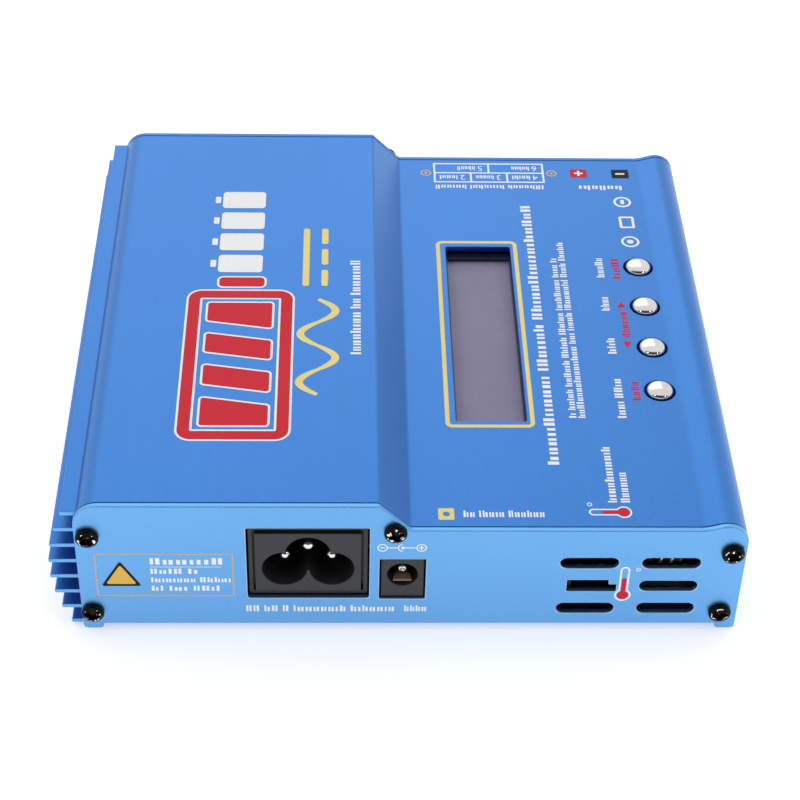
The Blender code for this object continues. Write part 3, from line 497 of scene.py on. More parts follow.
def turned(name, profile, place=(0, 0, 0), facing="up", material=None, steps=64):
    """(radius, height) down the outer side, spun about an axis that points up, front or rear."""
    tilt = {"up": 0, "front": math.pi / 2, "rear": -math.pi / 2}[facing]
    count = len(profile)
    closed = profile[0][0] > 0 and profile[-1][0] > 0
    edges = [(i, i + 1) for i in range(count - 1)] + ([(count - 1, 0)] if closed else [])
    mesh = bpy.data.meshes.new(name)
    mesh.from_pydata([(radius * MM, 0, height * MM) for radius, height in profile], edges, [])
    obj = new_piece(name, mesh)
    spin = obj.modifiers.new("turning", "SCREW")
    spin.steps = steps
    spin.render_steps = steps
    spin.use_merge_vertices = True
    spin.merge_threshold = 1e-6
    obj.rotation_euler = (tilt, 0, 0)
    obj.location = Vector(place) * MM
    return flattened(obj, material)


def combined(obj, operation, helpers):
    """Joins or cuts with each helper, keeps the first material and removes the helpers."""
    for helper in helpers:
        modifier = obj.modifiers.new("boolean", "BOOLEAN")
        modifier.operation = operation
        modifier.solver = "EXACT"
        modifier.object = helper
    made = flattened(obj, obj.data.materials[0] if obj.data.materials else None)
    for helper in helpers:
        discard(helper)
    return made


def cut(obj, *cutters):
    return combined(obj, "DIFFERENCE", cutters)


def fuse(obj, other):
    return combined(obj, "UNION", [other])


def flare(name, outlines, level, facing, width=0.15):
    """A helper that chamfers the mouths of openings in a face at this level."""
    span = (level - 0.3, level + 2) if facing == "up" else (level - 2, level + 0.3)
    wide = [grown(outline, width + 0.1) for outline in outlines]
    return prism(name, wide, span, facing, edge=0.4, rounds=0)


def tube(name, points, radius, material):
    curve = bpy.data.curves.new(name, "CURVE")
    curve.dimensions = "3D"
    curve.bevel_depth = radius * MM
    curve.bevel_resolution = 3
    curve.use_fill_caps = True
    spline = curve.splines.new("POLY")
    spline.points.add(len(points) - 1)
    for point, place in zip(spline.points, points):
        point.co = (*(Vector(place) * MM), 1)
    return flattened(new_piece(name, curve), material)


def placed(obj, slot, *nodes, body="case"):
    """The piece is shaded, stands for these nodes, which are hidden, and rides on a body. The slot is not
    used.
    """
    shade(obj)
    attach(obj, body)
    if nodes:
        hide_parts(*nodes)
    return obj


# ---- case


def right_shoulder():
    """From the right edge over the crest and the low panel, up the slope to the raised part."""
    crest = [(RIGHT, CREST_Z, RIGHT_CORNER), (66.7, CREST_Z, 4.0), (63.0, LOW_Z, 6.0)]
    return crest + [(2.5, LOW_Z, 0.8), (-4.1, HEIGHT, 1.0)]


def plate_outline():
    lobe, inner, notch = 0.9, (LEFT + RAIL_WIDTH, RIGHT - RAIL_WIDTH), 0.3
    left_rail = [(LEFT, RAIL_Z, lobe), (inner[0], RAIL_Z, lobe), (inner[0], BASE_Z, notch)]
    right_rail = [(inner[1], BASE_Z, notch), (inner[1], RAIL_Z, lobe), (RIGHT, RAIL_Z, lobe)]
    return fillet([*left_rail, *right_rail, *right_shoulder(), (LEFT, HEIGHT, LEFT_CORNER)])


def left_wall(z):
    rise = z - (HEIGHT - LEFT_CORNER)
    if rise <= 0:
        return LEFT
    return LEFT + LEFT_CORNER - math.sqrt(LEFT_CORNER**2 - rise**2)


def corner_arc(z_from, z_to, steps):
    """Points of the rounded top corner, going down from one height to another."""
    middle = HEIGHT - LEFT_CORNER
    start = math.asin(min(1.0, (z_from - middle) / LEFT_CORNER))
    end = math.asin(max(0.0, z_to - middle) / LEFT_CORNER)
    turns = [start + (end - start) * step / steps for step in range(steps + 1)]
    return [(LEFT + LEFT_CORNER * (1 - math.cos(a)), middle + LEFT_CORNER * math.sin(a)) for a in turns]


def fin_corners(number):
    low = FIN_FOOT_Z + number * FIN_PITCH
    high = low + FIN_THICKNESS
    off_middle = (low + high - FIN_FOOT_Z - TOP_FIN_Z) / 2
    tip = -WIDTH / 2 + 0.0141 * (off_middle**2 - (FIN_PITCH / 2) ** 2)
    root = 0.25 if 0 < number < FINS - 1 else 0
    return [(left_wall(high), high, root), (tip, high, 0.3), (tip, low, 0.3), (left_wall(low), low, root)]


def shell_inside():
    """The cover's inner side, walked from its left rail to its right one, round each screw's boss."""
    left_inner, right_inner = LEFT + 2.0, RIGHT - 1.8
    left_foot, right_foot = LEFT + RAIL_WIDTH, RIGHT - RAIL_WIDTH
    reach, soft, ledge = 2.9, 0.8, BASE_Z + 2.0
    top_left, low_left, middle, top_right, low_right = SCREW_PLACES
    return [
        (left_foot, RAIL_Z, 0.6),
        (left_foot, ledge),
        (low_left[0] + reach, ledge),
        (low_left[0] + reach, low_left[1] + reach, soft),
        (left_inner, low_left[1] + reach),
        (left_inner, top_left[1] - reach),
        (top_left[0] + reach, top_left[1] - reach, soft),
        (top_left[0] + reach, HEIGHT - SKIN),
        (-4.7, HEIGHT - SKIN),
        (middle[0] - reach, HEIGHT - SKIN - 1.5),
        (middle[0] - reach, middle[1] - reach, soft),
        (middle[0] + reach, middle[1] - reach, soft),
        (middle[0] + reach, LOW_Z - SKIN),
        (top_right[0] - reach, LOW_Z - SKIN),
        (top_right[0] - reach, top_right[1] - reach, soft),
        (right_inner, top_right[1] - reach),
        (right_inner, low_right[1] + reach),
        (low_right[0] - reach, low_right[1] + reach, soft),
        (low_right[0] - reach, ledge),
        (right_foot, ledge),
        (right_foot, RAIL_Z, 0.6),
    ]


def shell_outline():
    top_fin = FIN_FOOT_Z + (FINS - 1) * FIN_PITCH
    left_side = corner_arc(HEIGHT, top_fin + FIN_THICKNESS, 12)[:-1]
    left_side += fin_corners(FINS - 1)
    left_side += corner_arc(top_fin, HEIGHT - LEFT_CORNER, 8)[1:]
    for number in reversed(range(FINS - 1)):
        left_side += fin_corners(number)
    return fillet(
        [*shell_inside(), (RIGHT, RAIL_Z, 0.6), *right_shoulder(), *left_side, (LEFT, RAIL_Z, 0.2)]
    )


def grown(outline, by):
    """A convex outline moved outwards by a distance, corner by corner."""
    points = []
    count = len(outline)
    for index, point in enumerate(outline):
        before = (point - outline[index - 1]).normalized()
        after = (outline[(index + 1) % count] - point).normalized()
        normal = Vector((before.y + after.y, -before.x - after.x)).normalized()
        points.append(point + normal * by / max(0.3, normal.dot(Vector((after.y, -after.x)))))
    return points


def make_cover():
    half = (DEPTH / 2) - PLATE - SEAM
    channels = [circle(place, 1.35) for place in SCREW_PLACES]
    cover = prism("cover", [shell_outline(), *channels], (-half, half), "front", COVER_BLUE, 0.1)
    openings = [rectangle(*WINDOW, 0.5)] + [circle((KEY_X, y), 3.5) for y in KEY_Y]
    through = prism("openings", openings, (LOW_Z - 5, LOW_Z + 5), "up", edge=0)
    cover = cut(cover, through, flare("mouths", openings, LOW_Z, "up"))
    cover.data.materials.append(PLATE_BLUE)
    cover.data.materials.append(OPENING_SHADE_BLUE)
    opening_x, opening_y, upright = (10, 63), 60, 0.3
    # Painted shade: the walls of the display window and key holes take a darker blue.
    for face in cover.data.polygons:
        x, y, z = face.center / MM
        in_opening = opening_x[0] < x < opening_x[1] and abs(y) < opening_y
        in_skin = LOW_Z - SKIN - 0.1 < z < LOW_Z - 0.1
        if in_opening and in_skin and abs(face.normal.z) < upright:
            face.material_index = 2
        elif abs(face.normal.y) > 0.9:
            face.material_index = 1
    placed(cover, "blue_cover", "upper_shell")


def port_outline():
    """The keyed opening for the sensor's plug: a rectangle with a step in its upper right corner."""
    (left, right), (low, high) = PORT_X, PORT_Z
    step, drop = right - 1.7, high - 1.3
    corners = ((left, low), (right, low), (right, drop), (step, drop), (step, high), (left, high))
    return fillet([(*corner, 0.2) for corner in corners])


def front_openings():
    holes = [around(INLET_CENTRE, INLET_SIZE, 0.5), around(JACK_CENTRE, JACK_SIZE, 0.25), port_outline()]
    for x in VENT_X:
        for z in VENT_Z:
            if (x, z) != (VENT_X[0], VENT_Z[1]):
                holes.append(around((x, z), VENT_SIZE, VENT_SIZE[1] * 0.4999))
    return holes


def header_width(cells):
    return cells * HEADER_PITCH + 2 * HEADER_END


def header_places():
    places = {}
    for z, row in HEADER_ROWS:
        total = sum(header_width(cells) for cells in row) + HEADER_SPACING * (len(row) - 1)
        x = HEADERS_MIDDLE - total / 2
        for cells in row:
            places[cells] = (x, z)
            x += header_width(cells) + HEADER_SPACING
    return places


def rear_openings():
    holes = [circle((x, OUTPUT_Z), 4.1) for x in OUTPUT_X.values()]
    for cells, (x, z) in header_places().items():
        x_range = (x - GAP, x + header_width(cells) + GAP)
        holes.append(rectangle(x_range, (z - GAP, z + HEADER_HEIGHT + GAP), 0.2))
    return holes


def finish_edges(panel):
    """The rear plate's rim takes the cover's darker blue as painted shade, and the chamfers round the
    openings take a lighter blue metal as a painted highlight.
    """
    panel.data.materials.append(EDGE_HIGHLIGHT)
    panel.data.materials.append(COVER_BLUE)
    for face in panel.data.polygons:
        x, y, z = face.center / MM
        inner_z = (4, 33 if x < -5 else 28)
        # Painted highlight: the chamfers round the openings take the lighter edge metal.
        if 0.2 < abs(face.normal.y) < 0.97 and abs(x) < 65 and inner_z[0] < z < inner_z[1]:
            face.material_index = 1
        # Painted shade: the rear plate's rim takes the cover's darker blue.
        elif y > 0 and abs(face.normal.y) < 0.97:
            face.material_index = 2


def make_end_plates():
    screw_holes = [circle(place, 1.5) for place in SCREW_PLACES]
    for name, holes, y in (
        ("front_plate", front_openings(), (FRONT, FRONT + PLATE)),
        ("rear_plate", rear_openings(), (REAR - PLATE, REAR)),
    ):
        outlines = [plate_outline(), *screw_holes, *holes]
        panel = prism(name + "_panel", outlines, y, "front", PLATE_BLUE, 0.17)
        finish_edges(panel)
        placed(panel, "blue_plate", name)


def dome(radius, height, steps):
    """(radius, height) points of a shallow cap, from its top centre to its rim."""
    sphere = (radius**2 + height**2) / (2 * height)
    reach = math.asin(radius / sphere)
    turns = [reach * step / steps for step in range(steps + 1)]
    return [(sphere * math.sin(a), height - sphere * (1 - math.cos(a))) for a in turns]


def tapered_cross(arm, tip, root, top, floor, taper):
    """A driver's point: a cross that narrows from its top to its floor."""
    shape = bmesh.new()
    upper = [shape.verts.new((*(p * MM), top * MM)) for p in cross_outline(arm, tip, root)]
    face = shape.faces.new(upper)
    pushed = bmesh.ops.extrude_face_region(shape, geom=[face])["geom"]
    lower = [v for v in pushed if isinstance(v, bmesh.types.BMVert)]
    for vert in lower:
        vert.co = (vert.co.x * taper, vert.co.y * taper, floor * MM)
    bmesh.ops.recalc_face_normals(shape, faces=shape.faces)
    mesh = bpy.data.meshes.new("driver_point")
    shape.to_mesh(mesh)
    shape.free()
    return new_piece("driver_point", mesh)


def screw_mesh():
    """A pan head with a cross recess on a threaded shank, its seat at height 0."""
    crown = [(radius, height + 0.98) for radius, height in dome(2.08, 0.52, 8)]
    profile = [*crown, (2.24, 0.88), (2.35, 0.72), (2.4, 0.5), (2.4, 0.06), (2.34, 0), (1.2, 0)]
    depth = 0.4
    while depth < 7.4:
        profile += [(1.15, -depth), (0.95, -depth - 0.35), (1.15, -depth - 0.7)]
        depth += 0.8
    profile += [(0.9, -8.2), (0, -9.0)]
    screw = turned("screw", profile, steps=48)
    point = tapered_cross(1.9, 0.5, 0.72, 1.7, 0.3, 0.66)
    screw = cut(screw, point)
    mesh = screw.data
    bpy.data.objects.remove(screw, do_unlink=True)
    mesh.materials.append(BLACK_STEEL)
    mesh.materials.append(GLINT_STEEL)
    # Painted glints: the crown's lands round the recess take the bright spotted steel.
    for face in mesh.polygons:
        x, y, z = face.center / MM
        face.material_index = int(0.7 < math.hypot(x, y) < 1.85 and z > 0.9 and abs(face.normal.z) > 0.8)
    return mesh


def make_screws():
    mesh = screw_mesh()
    for end, y, tilt in (("front", FRONT - 0.1, math.pi / 2), ("rear", REAR + 0.1, -math.pi / 2)):
        for number, (x, z) in enumerate(SCREW_PLACES, 1):
            spun = Matrix.Rotation(math.radians(37 * number + (20 if end == "rear" else 0)), 4, "Z")
            seat = Matrix.Translation(Vector((x, y, z)) * MM) @ Matrix.Rotation(tilt, 4, "X")
            own_mesh = mesh.copy()
            own_mesh.transform(seat @ spun)
            screw = new_piece(f"{end}_pan_screw_{number}", own_mesh)
            placed(screw, "black_steel", f"{end}_screw_{number}")


def make_feet():
    flank = [(0, 1.78), (5.3, 1.78), (5.5, 1.6), (5.45, 0.9), (5.2, 0.35), (4.75, 0.04), (4.2, 0)]
    profile = flank + [(3.4, 0), (3.1, 0.35), (2.6, 0.5), (0, 0.5)]
    for side, x in (("left", -50), ("right", 55)):
        for end, y in (("front", -54), ("rear", 54)):
            foot = turned(f"foot_{end}_{side}", profile, (x, y, 0), material=RUBBER)
            placed(foot, "rubber", f"rubber_foot_{end}_{side}")


# ---- sockets at the front


def lobe_centres():
    x, z = INLET_CENTRE
    return {"line": (x - 4.9, z - 1.9), "neutral": (x + 4.9, z - 1.9), "earth": (x, z + 2.4)}


def clover_outline(radius):
    """The edge of three overlapping round lobes, walked round from a point inside all of them."""
    middle = Vector((INLET_CENTRE[0], INLET_CENTRE[1] + 0.2))
    centres = [Vector(centre) for centre in lobe_centres().values()]
    points = []
    for step in range(180):
        angle = math.tau * step / 180
        along = Vector((math.cos(angle), math.sin(angle)))
        reach = 0
        for centre in centres:
            offset = centre - middle
            near = offset.dot(along)
            inside = radius**2 - (offset.length_squared - near**2)
            if inside > 0:
                reach = max(reach, near + math.sqrt(inside))
        points.append(middle + along * reach)
    return points


def lobe_flares(face):
    """A helper for each lobe: a cone that chamfers its mouth by 0.2 mm."""
    profile = [(0, 1), (5.8, 1), (4.3, -0.5), (0, -0.5)]
    return [turned("lobe_flare", profile, (x, face, z), "front") for x, z in lobe_centres().values()]


def make_mains_inlet():
    face, ledge = FRONT + 0.4, FRONT + 1.0
    floor, back = FRONT + 17, FRONT + 22
    raised, groove = (22.0, 16.6), 0.45
    outer = (INLET_SIZE[0] - 2 * GAP, INLET_SIZE[1] - 2 * GAP)
    shape = [around(INLET_CENTRE, outer, 0.5)]
    body = prism("mains_inlet_housing", shape, (ledge, back), "front", BLACK_PLASTIC, 0.15)
    ring = [
        around(INLET_CENTRE, (raised[0] + 2 * groove, raised[1] + 2 * groove), 0.4),
        around(INLET_CENTRE, (raised[0] - 0.1, raised[1] - 0.1), 0.3),
    ]
    body = cut(body, prism("groove", ring, (ledge - 1, ledge + 1.3), "front", edge=0))
    shape = [around(INLET_CENTRE, raised, 0.4)]
    nose = prism("nose", shape, (face, ledge + 2), "front", edge=0.22, rounds=2)
    body = fuse(body, nose)
    clover = [clover_outline(4.6)]
    pin_holes = [circle(centre, 1.45) for centre in lobe_centres().values()]
    body = cut(
        body,
        prism("lobes", clover, (face - 1, floor), "front", edge=0),
        *lobe_flares(face),
        prism("pin_holes", pin_holes, (floor - 1, back + 1), "front", edge=0),
    )
    placed(body, "black_plastic", "mains_inlet")
    for name, (x, z) in lobe_centres().items():
        tip = face + (1.9 if name == "earth" else 3.4)
        length = back + 3 - tip
        profile = [(radius, height - 0.75) for radius, height in dome(1.18, 0.75, 8)]
        profile += [(1.18, -length), (0, -length)]
        pin = turned(f"mains_pin_{name}", profile, (x, tip, z), "front", NICKEL, 40)
        placed(pin, "nickel_plate", f"inlet_pin_{name}")


def make_jack():
    face, bore_end, back = FRONT + 0.5, FRONT + 10.5, FRONT + 14.5
    bore = (JACK_CENTRE[0], JACK_CENTRE[1] + 0.85)
    size = (JACK_SIZE[0] - 2 * GAP, JACK_SIZE[1] - 2 * GAP)
    shape = [around(JACK_CENTRE, size, 0.3)]
    body = prism("jack_housing", shape, (face, back), "front", BLACK_PLASTIC, 0.22, 2)
    body = cut(
        body,
        prism("bore", [circle(bore, 3.15)], (face - 1, bore_end), "front", edge=0),
        flare("bore_mouth", [circle(bore, 3.15)], face, "front", 0.2),
        prism("pin_hole", [circle(bore, 1.35)], (bore_end - 1, back + 1), "front", edge=0),
    )
    placed(body, "black_plastic", "low_voltage_jack")
    tip = face + 1.6
    length = back + 1.5 - tip
    hollow = [(0, -0.7), (0.42, -0.7), (0.46, -0.08)]
    lip = [(0.55, 0), (0.72, -0.04), (0.98, -0.3), (1.05, -0.6)]
    profile = [*hollow, *lip, (1.05, -length), (0, -length)]
    pin = turned("jack_centre_pin", profile, (bore[0], tip, bore[1]), "front", NICKEL, 40)
    placed(pin, "nickel_plate", "low_voltage_jack_pin")
    tongue = [(1.95, face + 0.6), (1.9, face + 1.7), (1.6, face + 2.5), (1.1, face + 3.0)]
    tongue.append((1.0, bore_end - 0.1))
    outline = [(bore[0] + x, y) for x, y in tongue] + [(bore[0] - x, y) for x, y in reversed(tongue)]
    leaf = prism("jack_contact_leaf", [outline], (bore[1] - 2.4, bore[1] - 2.0), "up", BRASS_LEAF, 0.1, 2)
    placed(leaf, "nickel_plate")


# ---- display and keys


def make_display():
    low, high = [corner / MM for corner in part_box("display_frame")]
    view, wall = [rectangle((13.4, 28.1), (-35.4, 27.3), 0.3)], 0.5
    hollow = [(low[axis] + wall, high[axis] - wall) for axis in (0, 1)]
    bezel = block("display_bezel", *zip(low, high), BEZEL_BLACK, 0.2)
    bezel = cut(
        bezel,
        block("hollow", *hollow, (low.z - 1, high.z - wall), edge=0),
        prism("view", view, (high.z - 3, high.z + 1), "up", edge=0),
    )
    placed(bezel, "black_steel", "display_frame")
    low, high = [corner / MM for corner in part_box("display_glass")]
    cell = block("display_cell", *zip(low, high), DISPLAY, 0.15)
    placed(cell, "display_glass", "display_glass")


def make_keys():
    low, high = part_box("start_key_cap")
    foot, top = low.z / MM, high.z / MM
    flat, rise, roll = 1.9, 0.14, 1.1
    crown = [(radius, height + top - rise) for radius, height in dome(flat, rise, 8)]
    shoulder = [math.radians(turn) for turn in range(78, -1, -6)]
    crown += [(flat + roll * math.cos(a), top - rise - roll + roll * math.sin(a)) for a in shoulder]
    collar = [(3.0, foot + 1.0), (4.0, foot + 1.0), (4.1, foot + 0.9), (4.1, foot + 0.1), (4.0, foot)]
    profile = [*crown, *collar, (0, foot)]
    for name, y in zip(KEY_NAMES, KEY_Y):
        cap = turned(f"{name}_key_button", profile, (KEY_X, y, 0), material=CHROME, steps=96)
        placed(cap, "chromed_cap", f"{name}_key_cap", body=f"{name}_key")


# ---- rear connectors


def make_header(name, node, cells, corner, mouth, facing, plastic=WHITE_NYLON):
    """A shrouded header whose mouth faces the rear (1) or the front (-1)."""
    x, z = corner
    width = header_width(cells)
    floor = mouth - facing * (HEADER_DEPTH - 1.2)
    back = mouth - facing * HEADER_DEPTH
    beyond = mouth + facing
    outer = rectangle((x, x + width), (z, z + HEADER_HEIGHT), 0.15)
    inner = rectangle((x + 0.8, x + width - 0.8), (z + 0.8, z + HEADER_HEIGHT - 0.8), 0.1)
    key_y = sorted((mouth - facing * 3, beyond))
    key_z = (z + HEADER_HEIGHT - 1.2, z + HEADER_HEIGHT + 1)
    shroud = prism(name, [outer], sorted((back, mouth)), "front", plastic, 0.1)
    shroud = cut(
        shroud,
        prism("hollow", [inner], sorted((floor, beyond)), "front", edge=0),
        block("left_keyway", (x + 2, x + 3.2), key_y, key_z, edge=0),
        block("right_keyway", (x + width - 3.2, x + width - 2), key_y, key_z, edge=0),
    )
    placed(shroud, "white_nylon", node)
    middle = z + HEADER_HEIGHT / 2
    places = [(x + HEADER_END + number * HEADER_PITCH, middle) for number in range(cells + 1)]
    span = sorted((floor - facing * 0.3, mouth - facing * 1.6))
    shapes = [around(place, (0.64, 0.64)) for place in places]
    pins = prism(name + "_pins", shapes, span, "front", NICKEL, 0.14, 0)
    placed(pins, "nickel_plate")


def make_headers():
    for cells, corner in header_places().items():
        node = f"balance_header_{cells}_cell"
        make_header(node + "_shroud", node, cells, corner, REAR - GAP, 1)
    x = (PORT_X[0] + PORT_X[1]) / 2 - header_width(2) / 2
    mouth = FRONT + PLATE + GAP
    make_header("sensor_header_shroud", "sensor_header", 2, (x, 9.6), mouth, -1, BLACK_PLASTIC)


def make_outputs():
    length = 14
    flange = [(3.1, 1.25), (3.3, 1.5), (4.5, 1.5), (4.8, 1.35), (4.9, 1.05), (4.9, 0.1)]
    housing = [*flange, (3.8, 0.1), (3.8, -length), (3.1, -length)]
    mouth = [(2.05, -0.7), (2.2, -0.5), (2.65, -0.5), (2.8, -0.7)]
    sleeve = [*mouth, (2.8, -length - 3), (2.05, -length - 3)]
    finishes = {"positive": (RED_PLASTIC, "red_plastic"), "negative": (BLACK_PLASTIC, "black_plastic")}
    for pole, x in OUTPUT_X.items():
        plastic, slot = finishes[pole]
        place = (x, REAR, OUTPUT_Z)
        socket = turned(f"output_{pole}_housing", housing, place, "rear", plastic)
        placed(socket, slot, f"output_socket_{pole}")
        liner = turned(f"output_{pole}_sleeve", sleeve, place, "rear", NICKEL)
        placed(liner, "nickel_plate", f"output_sleeve_{pole}")


# ---- inside


def make_choke():
    """Enamelled wire wound round a ring core that lies flat, seen through the upper right vent."""
    centre = Vector((VENT_X[1], -54.6, 16.5))
    ring, coil, wire, turns, per_turn = 5.6, 2.3, 0.5, 19, 16
    start, sweep = math.radians(112), math.radians(316)
    points = []
    for step in range(turns * per_turn + 1):
        along = start + sweep * step / (turns * per_turn)
        spin = math.tau * step / per_turn
        out, up = ring + coil * math.cos(spin), coil * math.sin(spin)
        points.append(centre + Vector((out * math.cos(along), out * math.sin(along), up)))
    winding = tube("choke_wire", points, wire, COPPER)
    placed(winding, "copper_wire", "choke_winding")


def finish_node(name, material):
    """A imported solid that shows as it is, in a better material."""
    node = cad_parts[name]
    if not node.material_slots:
        node.data.materials.append(material)
    node.material_slots[0].material = material


def finish_inside():
    boards = [f"{board}_board" for board in ("display", "key", "power", "main", "balance")]
    switches = [f"{key}_key_{part}" for key in KEY_NAMES for part in ("plunger", "switch")]
    for material, names in (
        (SHADED_BOARD_GREEN, boards),
        (FERRITE, ("transformer", "choke_core")),
        (ZINC, ("power_transistor_1", "power_transistor_2")),
        (SWITCH_PLASTIC, switches),
        (SLEEVE_BLACK, ("smoothing_capacitor",)),
        (RAW_ALUMINIUM, ("heat_spreader",)),
        (COVER_BLUE, ("base_plate",)),
    ):
        for name in names:
            finish_node(name, material)


# ---- printed marks


def word_blocks(words, length, height, seed):
    """Short upright bars in place of letters: words are letter counts, set to fill a length."""
    draw = random.Random(seed)
    bars = []
    x = 0.0
    for count in words:
        for letter in range(count):
            tall = letter == 0 or draw.random() < 0.3
            for _ in range(1 if draw.random() < 0.25 else 2):
                width = draw.uniform(0.25, 0.36)
                bars.append((x, x + width, 1.0 if tall else 0.74))
                x += width + 0.15
                tall = tall and draw.random() < 0.5
            x += 0.12
        x += 0.45
    scale = length / (x - 0.74)
    return [rectangle((low * scale, high * scale), (0, top * height)) for low, high, top in bars]


def word_rows(turn, *rows):
    """Rows of bars: each has its letter counts, length, height, seed and the place where it starts."""
    shapes = []
    for words, length, height, seed, place in rows:
        shapes += moved(word_blocks(words, length, height, seed), place, turn)
    return shapes


def frame_lines(x, y, width, radius=0.0):
    radius = min(radius, 0.49 * (x[1] - x[0]), 0.49 * (y[1] - y[0]))
    inner = max(0.0, radius - width)
    hole = rectangle((x[0] + width, x[1] - width), (y[0] + width, y[1] - width), inner)
    return [rectangle(x, y, radius), hole]


def ring_mark(centre, radius, width):
    return [circle(centre, radius), circle(centre, radius - width)]


def marks(name, shapes, surface, material, lift=0.0):
    """Flat shapes printed on a surface: ("up", z) or ("front", y)."""
    facing, level = surface
    sunk, thickness = 0.01, 0.02
    span = (level - sunk + lift, level + thickness + lift)
    if facing == "front":
        span = (level - thickness - lift, level + sunk - lift)
    printed = prism(name, shapes, span, facing, material, 0.0)
    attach(printed, "case")
    return printed


def wave_stroke(length, height, periods, width):
    """A brush-like wave: wide on the slopes' tops and thin between them."""
    upper, lower = [], []
    steps = 48 * periods
    for step in range(steps + 1):
        phase = math.tau * periods * step / steps
        x = length * step / steps
        y = height * math.sin(phase)
        slope = Vector((length / (math.tau * periods), height * math.cos(phase))).normalized()
        half = width * (0.55 + 0.45 * abs(math.sin(phase))) / 2
        normal = Vector((-slope.y, slope.x)) * half
        upper.append(Vector((x, y)) + normal)
        lower.append(Vector((x, y)) - normal)
    return upper + lower[::-1]


def thermometer(length, grow=0.0):
    """A bulb and a tube along +X from the bulb's centre."""
    bulb, half = 1.35 + grow, 0.62 + grow
    start = math.asin(half / bulb)
    turns = [start + (math.tau - 2 * start) * step / 40 for step in range(41)]
    cap = [(-math.pi / 2) + math.pi * step / 16 for step in range(17)]
    return arc((0, 0), bulb, turns) + arc((length + grow - half, 0), half, cap)


def gauge_shapes(place, turn, length, filled, edge):
    """A thermometer's outline, and the fill inside it, from the bulb's centre."""
    outline = [thermometer(length, edge), thermometer(length)[::-1]]
    return moved(outline, place, turn), moved([thermometer(filled, -0.14)], place, turn)


def battery_mark(length, height, line, by=0.0):
    """A cell outline with charge bars, lying along +X, every part of it widened by a distance."""
    body = length - 5
    shapes = frame_lines((-by, body + by), (-by, height + by), line + 2 * by, 3.0 + by)
    solids = [rectangle((body + 1.6, length), (height * 0.28, height * 0.72), 1.0)]
    inside = (line + 1.8, body - line - 1.8)
    bars, gap, lean, corner = 4, 1.9, 2.6, 0.6
    step = (inside[1] - inside[0] + gap) / bars
    bottom, top = line + gap, height - line - gap
    for number in range(bars):
        low = inside[0] + number * step
        high = low + step - gap
        foot = high if number == bars - 1 else high - lean
        head = low if number == 0 else low + lean
        corners = ((low, bottom), (foot, bottom), (high, top), (head, top))
        solids.append(fillet([(*place, corner) for place in corners]))
    return shapes + [grown(solid, by) for solid in solids]


def numeral(digit, height):
    """A digit's outlines, drawn with the built-in font."""
    curve = bpy.data.curves.new("digit", "FONT")
    curve.body = str(digit)
    curve.size = height * 1.4
    curve.fill_mode = "NONE"
    drawn = new_piece("digit", curve)
    mesh = evaluated_mesh(drawn)
    discard(drawn)
    shape = bmesh.new()
    shape.from_mesh(mesh)
    outlines = []
    unused = set(shape.verts)
    while unused:
        first = unused.pop()
        loop = [first]
        here = first
        while True:
            beside = [edge.other_vert(here) for edge in here.link_edges]
            following = [vert for vert in beside if vert in unused]
            if not following:
                break
            here = following[0]
            unused.discard(here)
            loop.append(here)
        outlines.append([Vector(vert.co[:2]) for vert in loop])
    shape.free()
    bpy.data.meshes.remove(mesh)
    return outlines


def half_ring(centre, radius, width):
    """The left half of a ring."""
    turns = [math.radians(90 + 15 * step) for step in range(13)]
    return arc(centre, radius, turns) + arc(centre, radius - width, turns)[::-1]


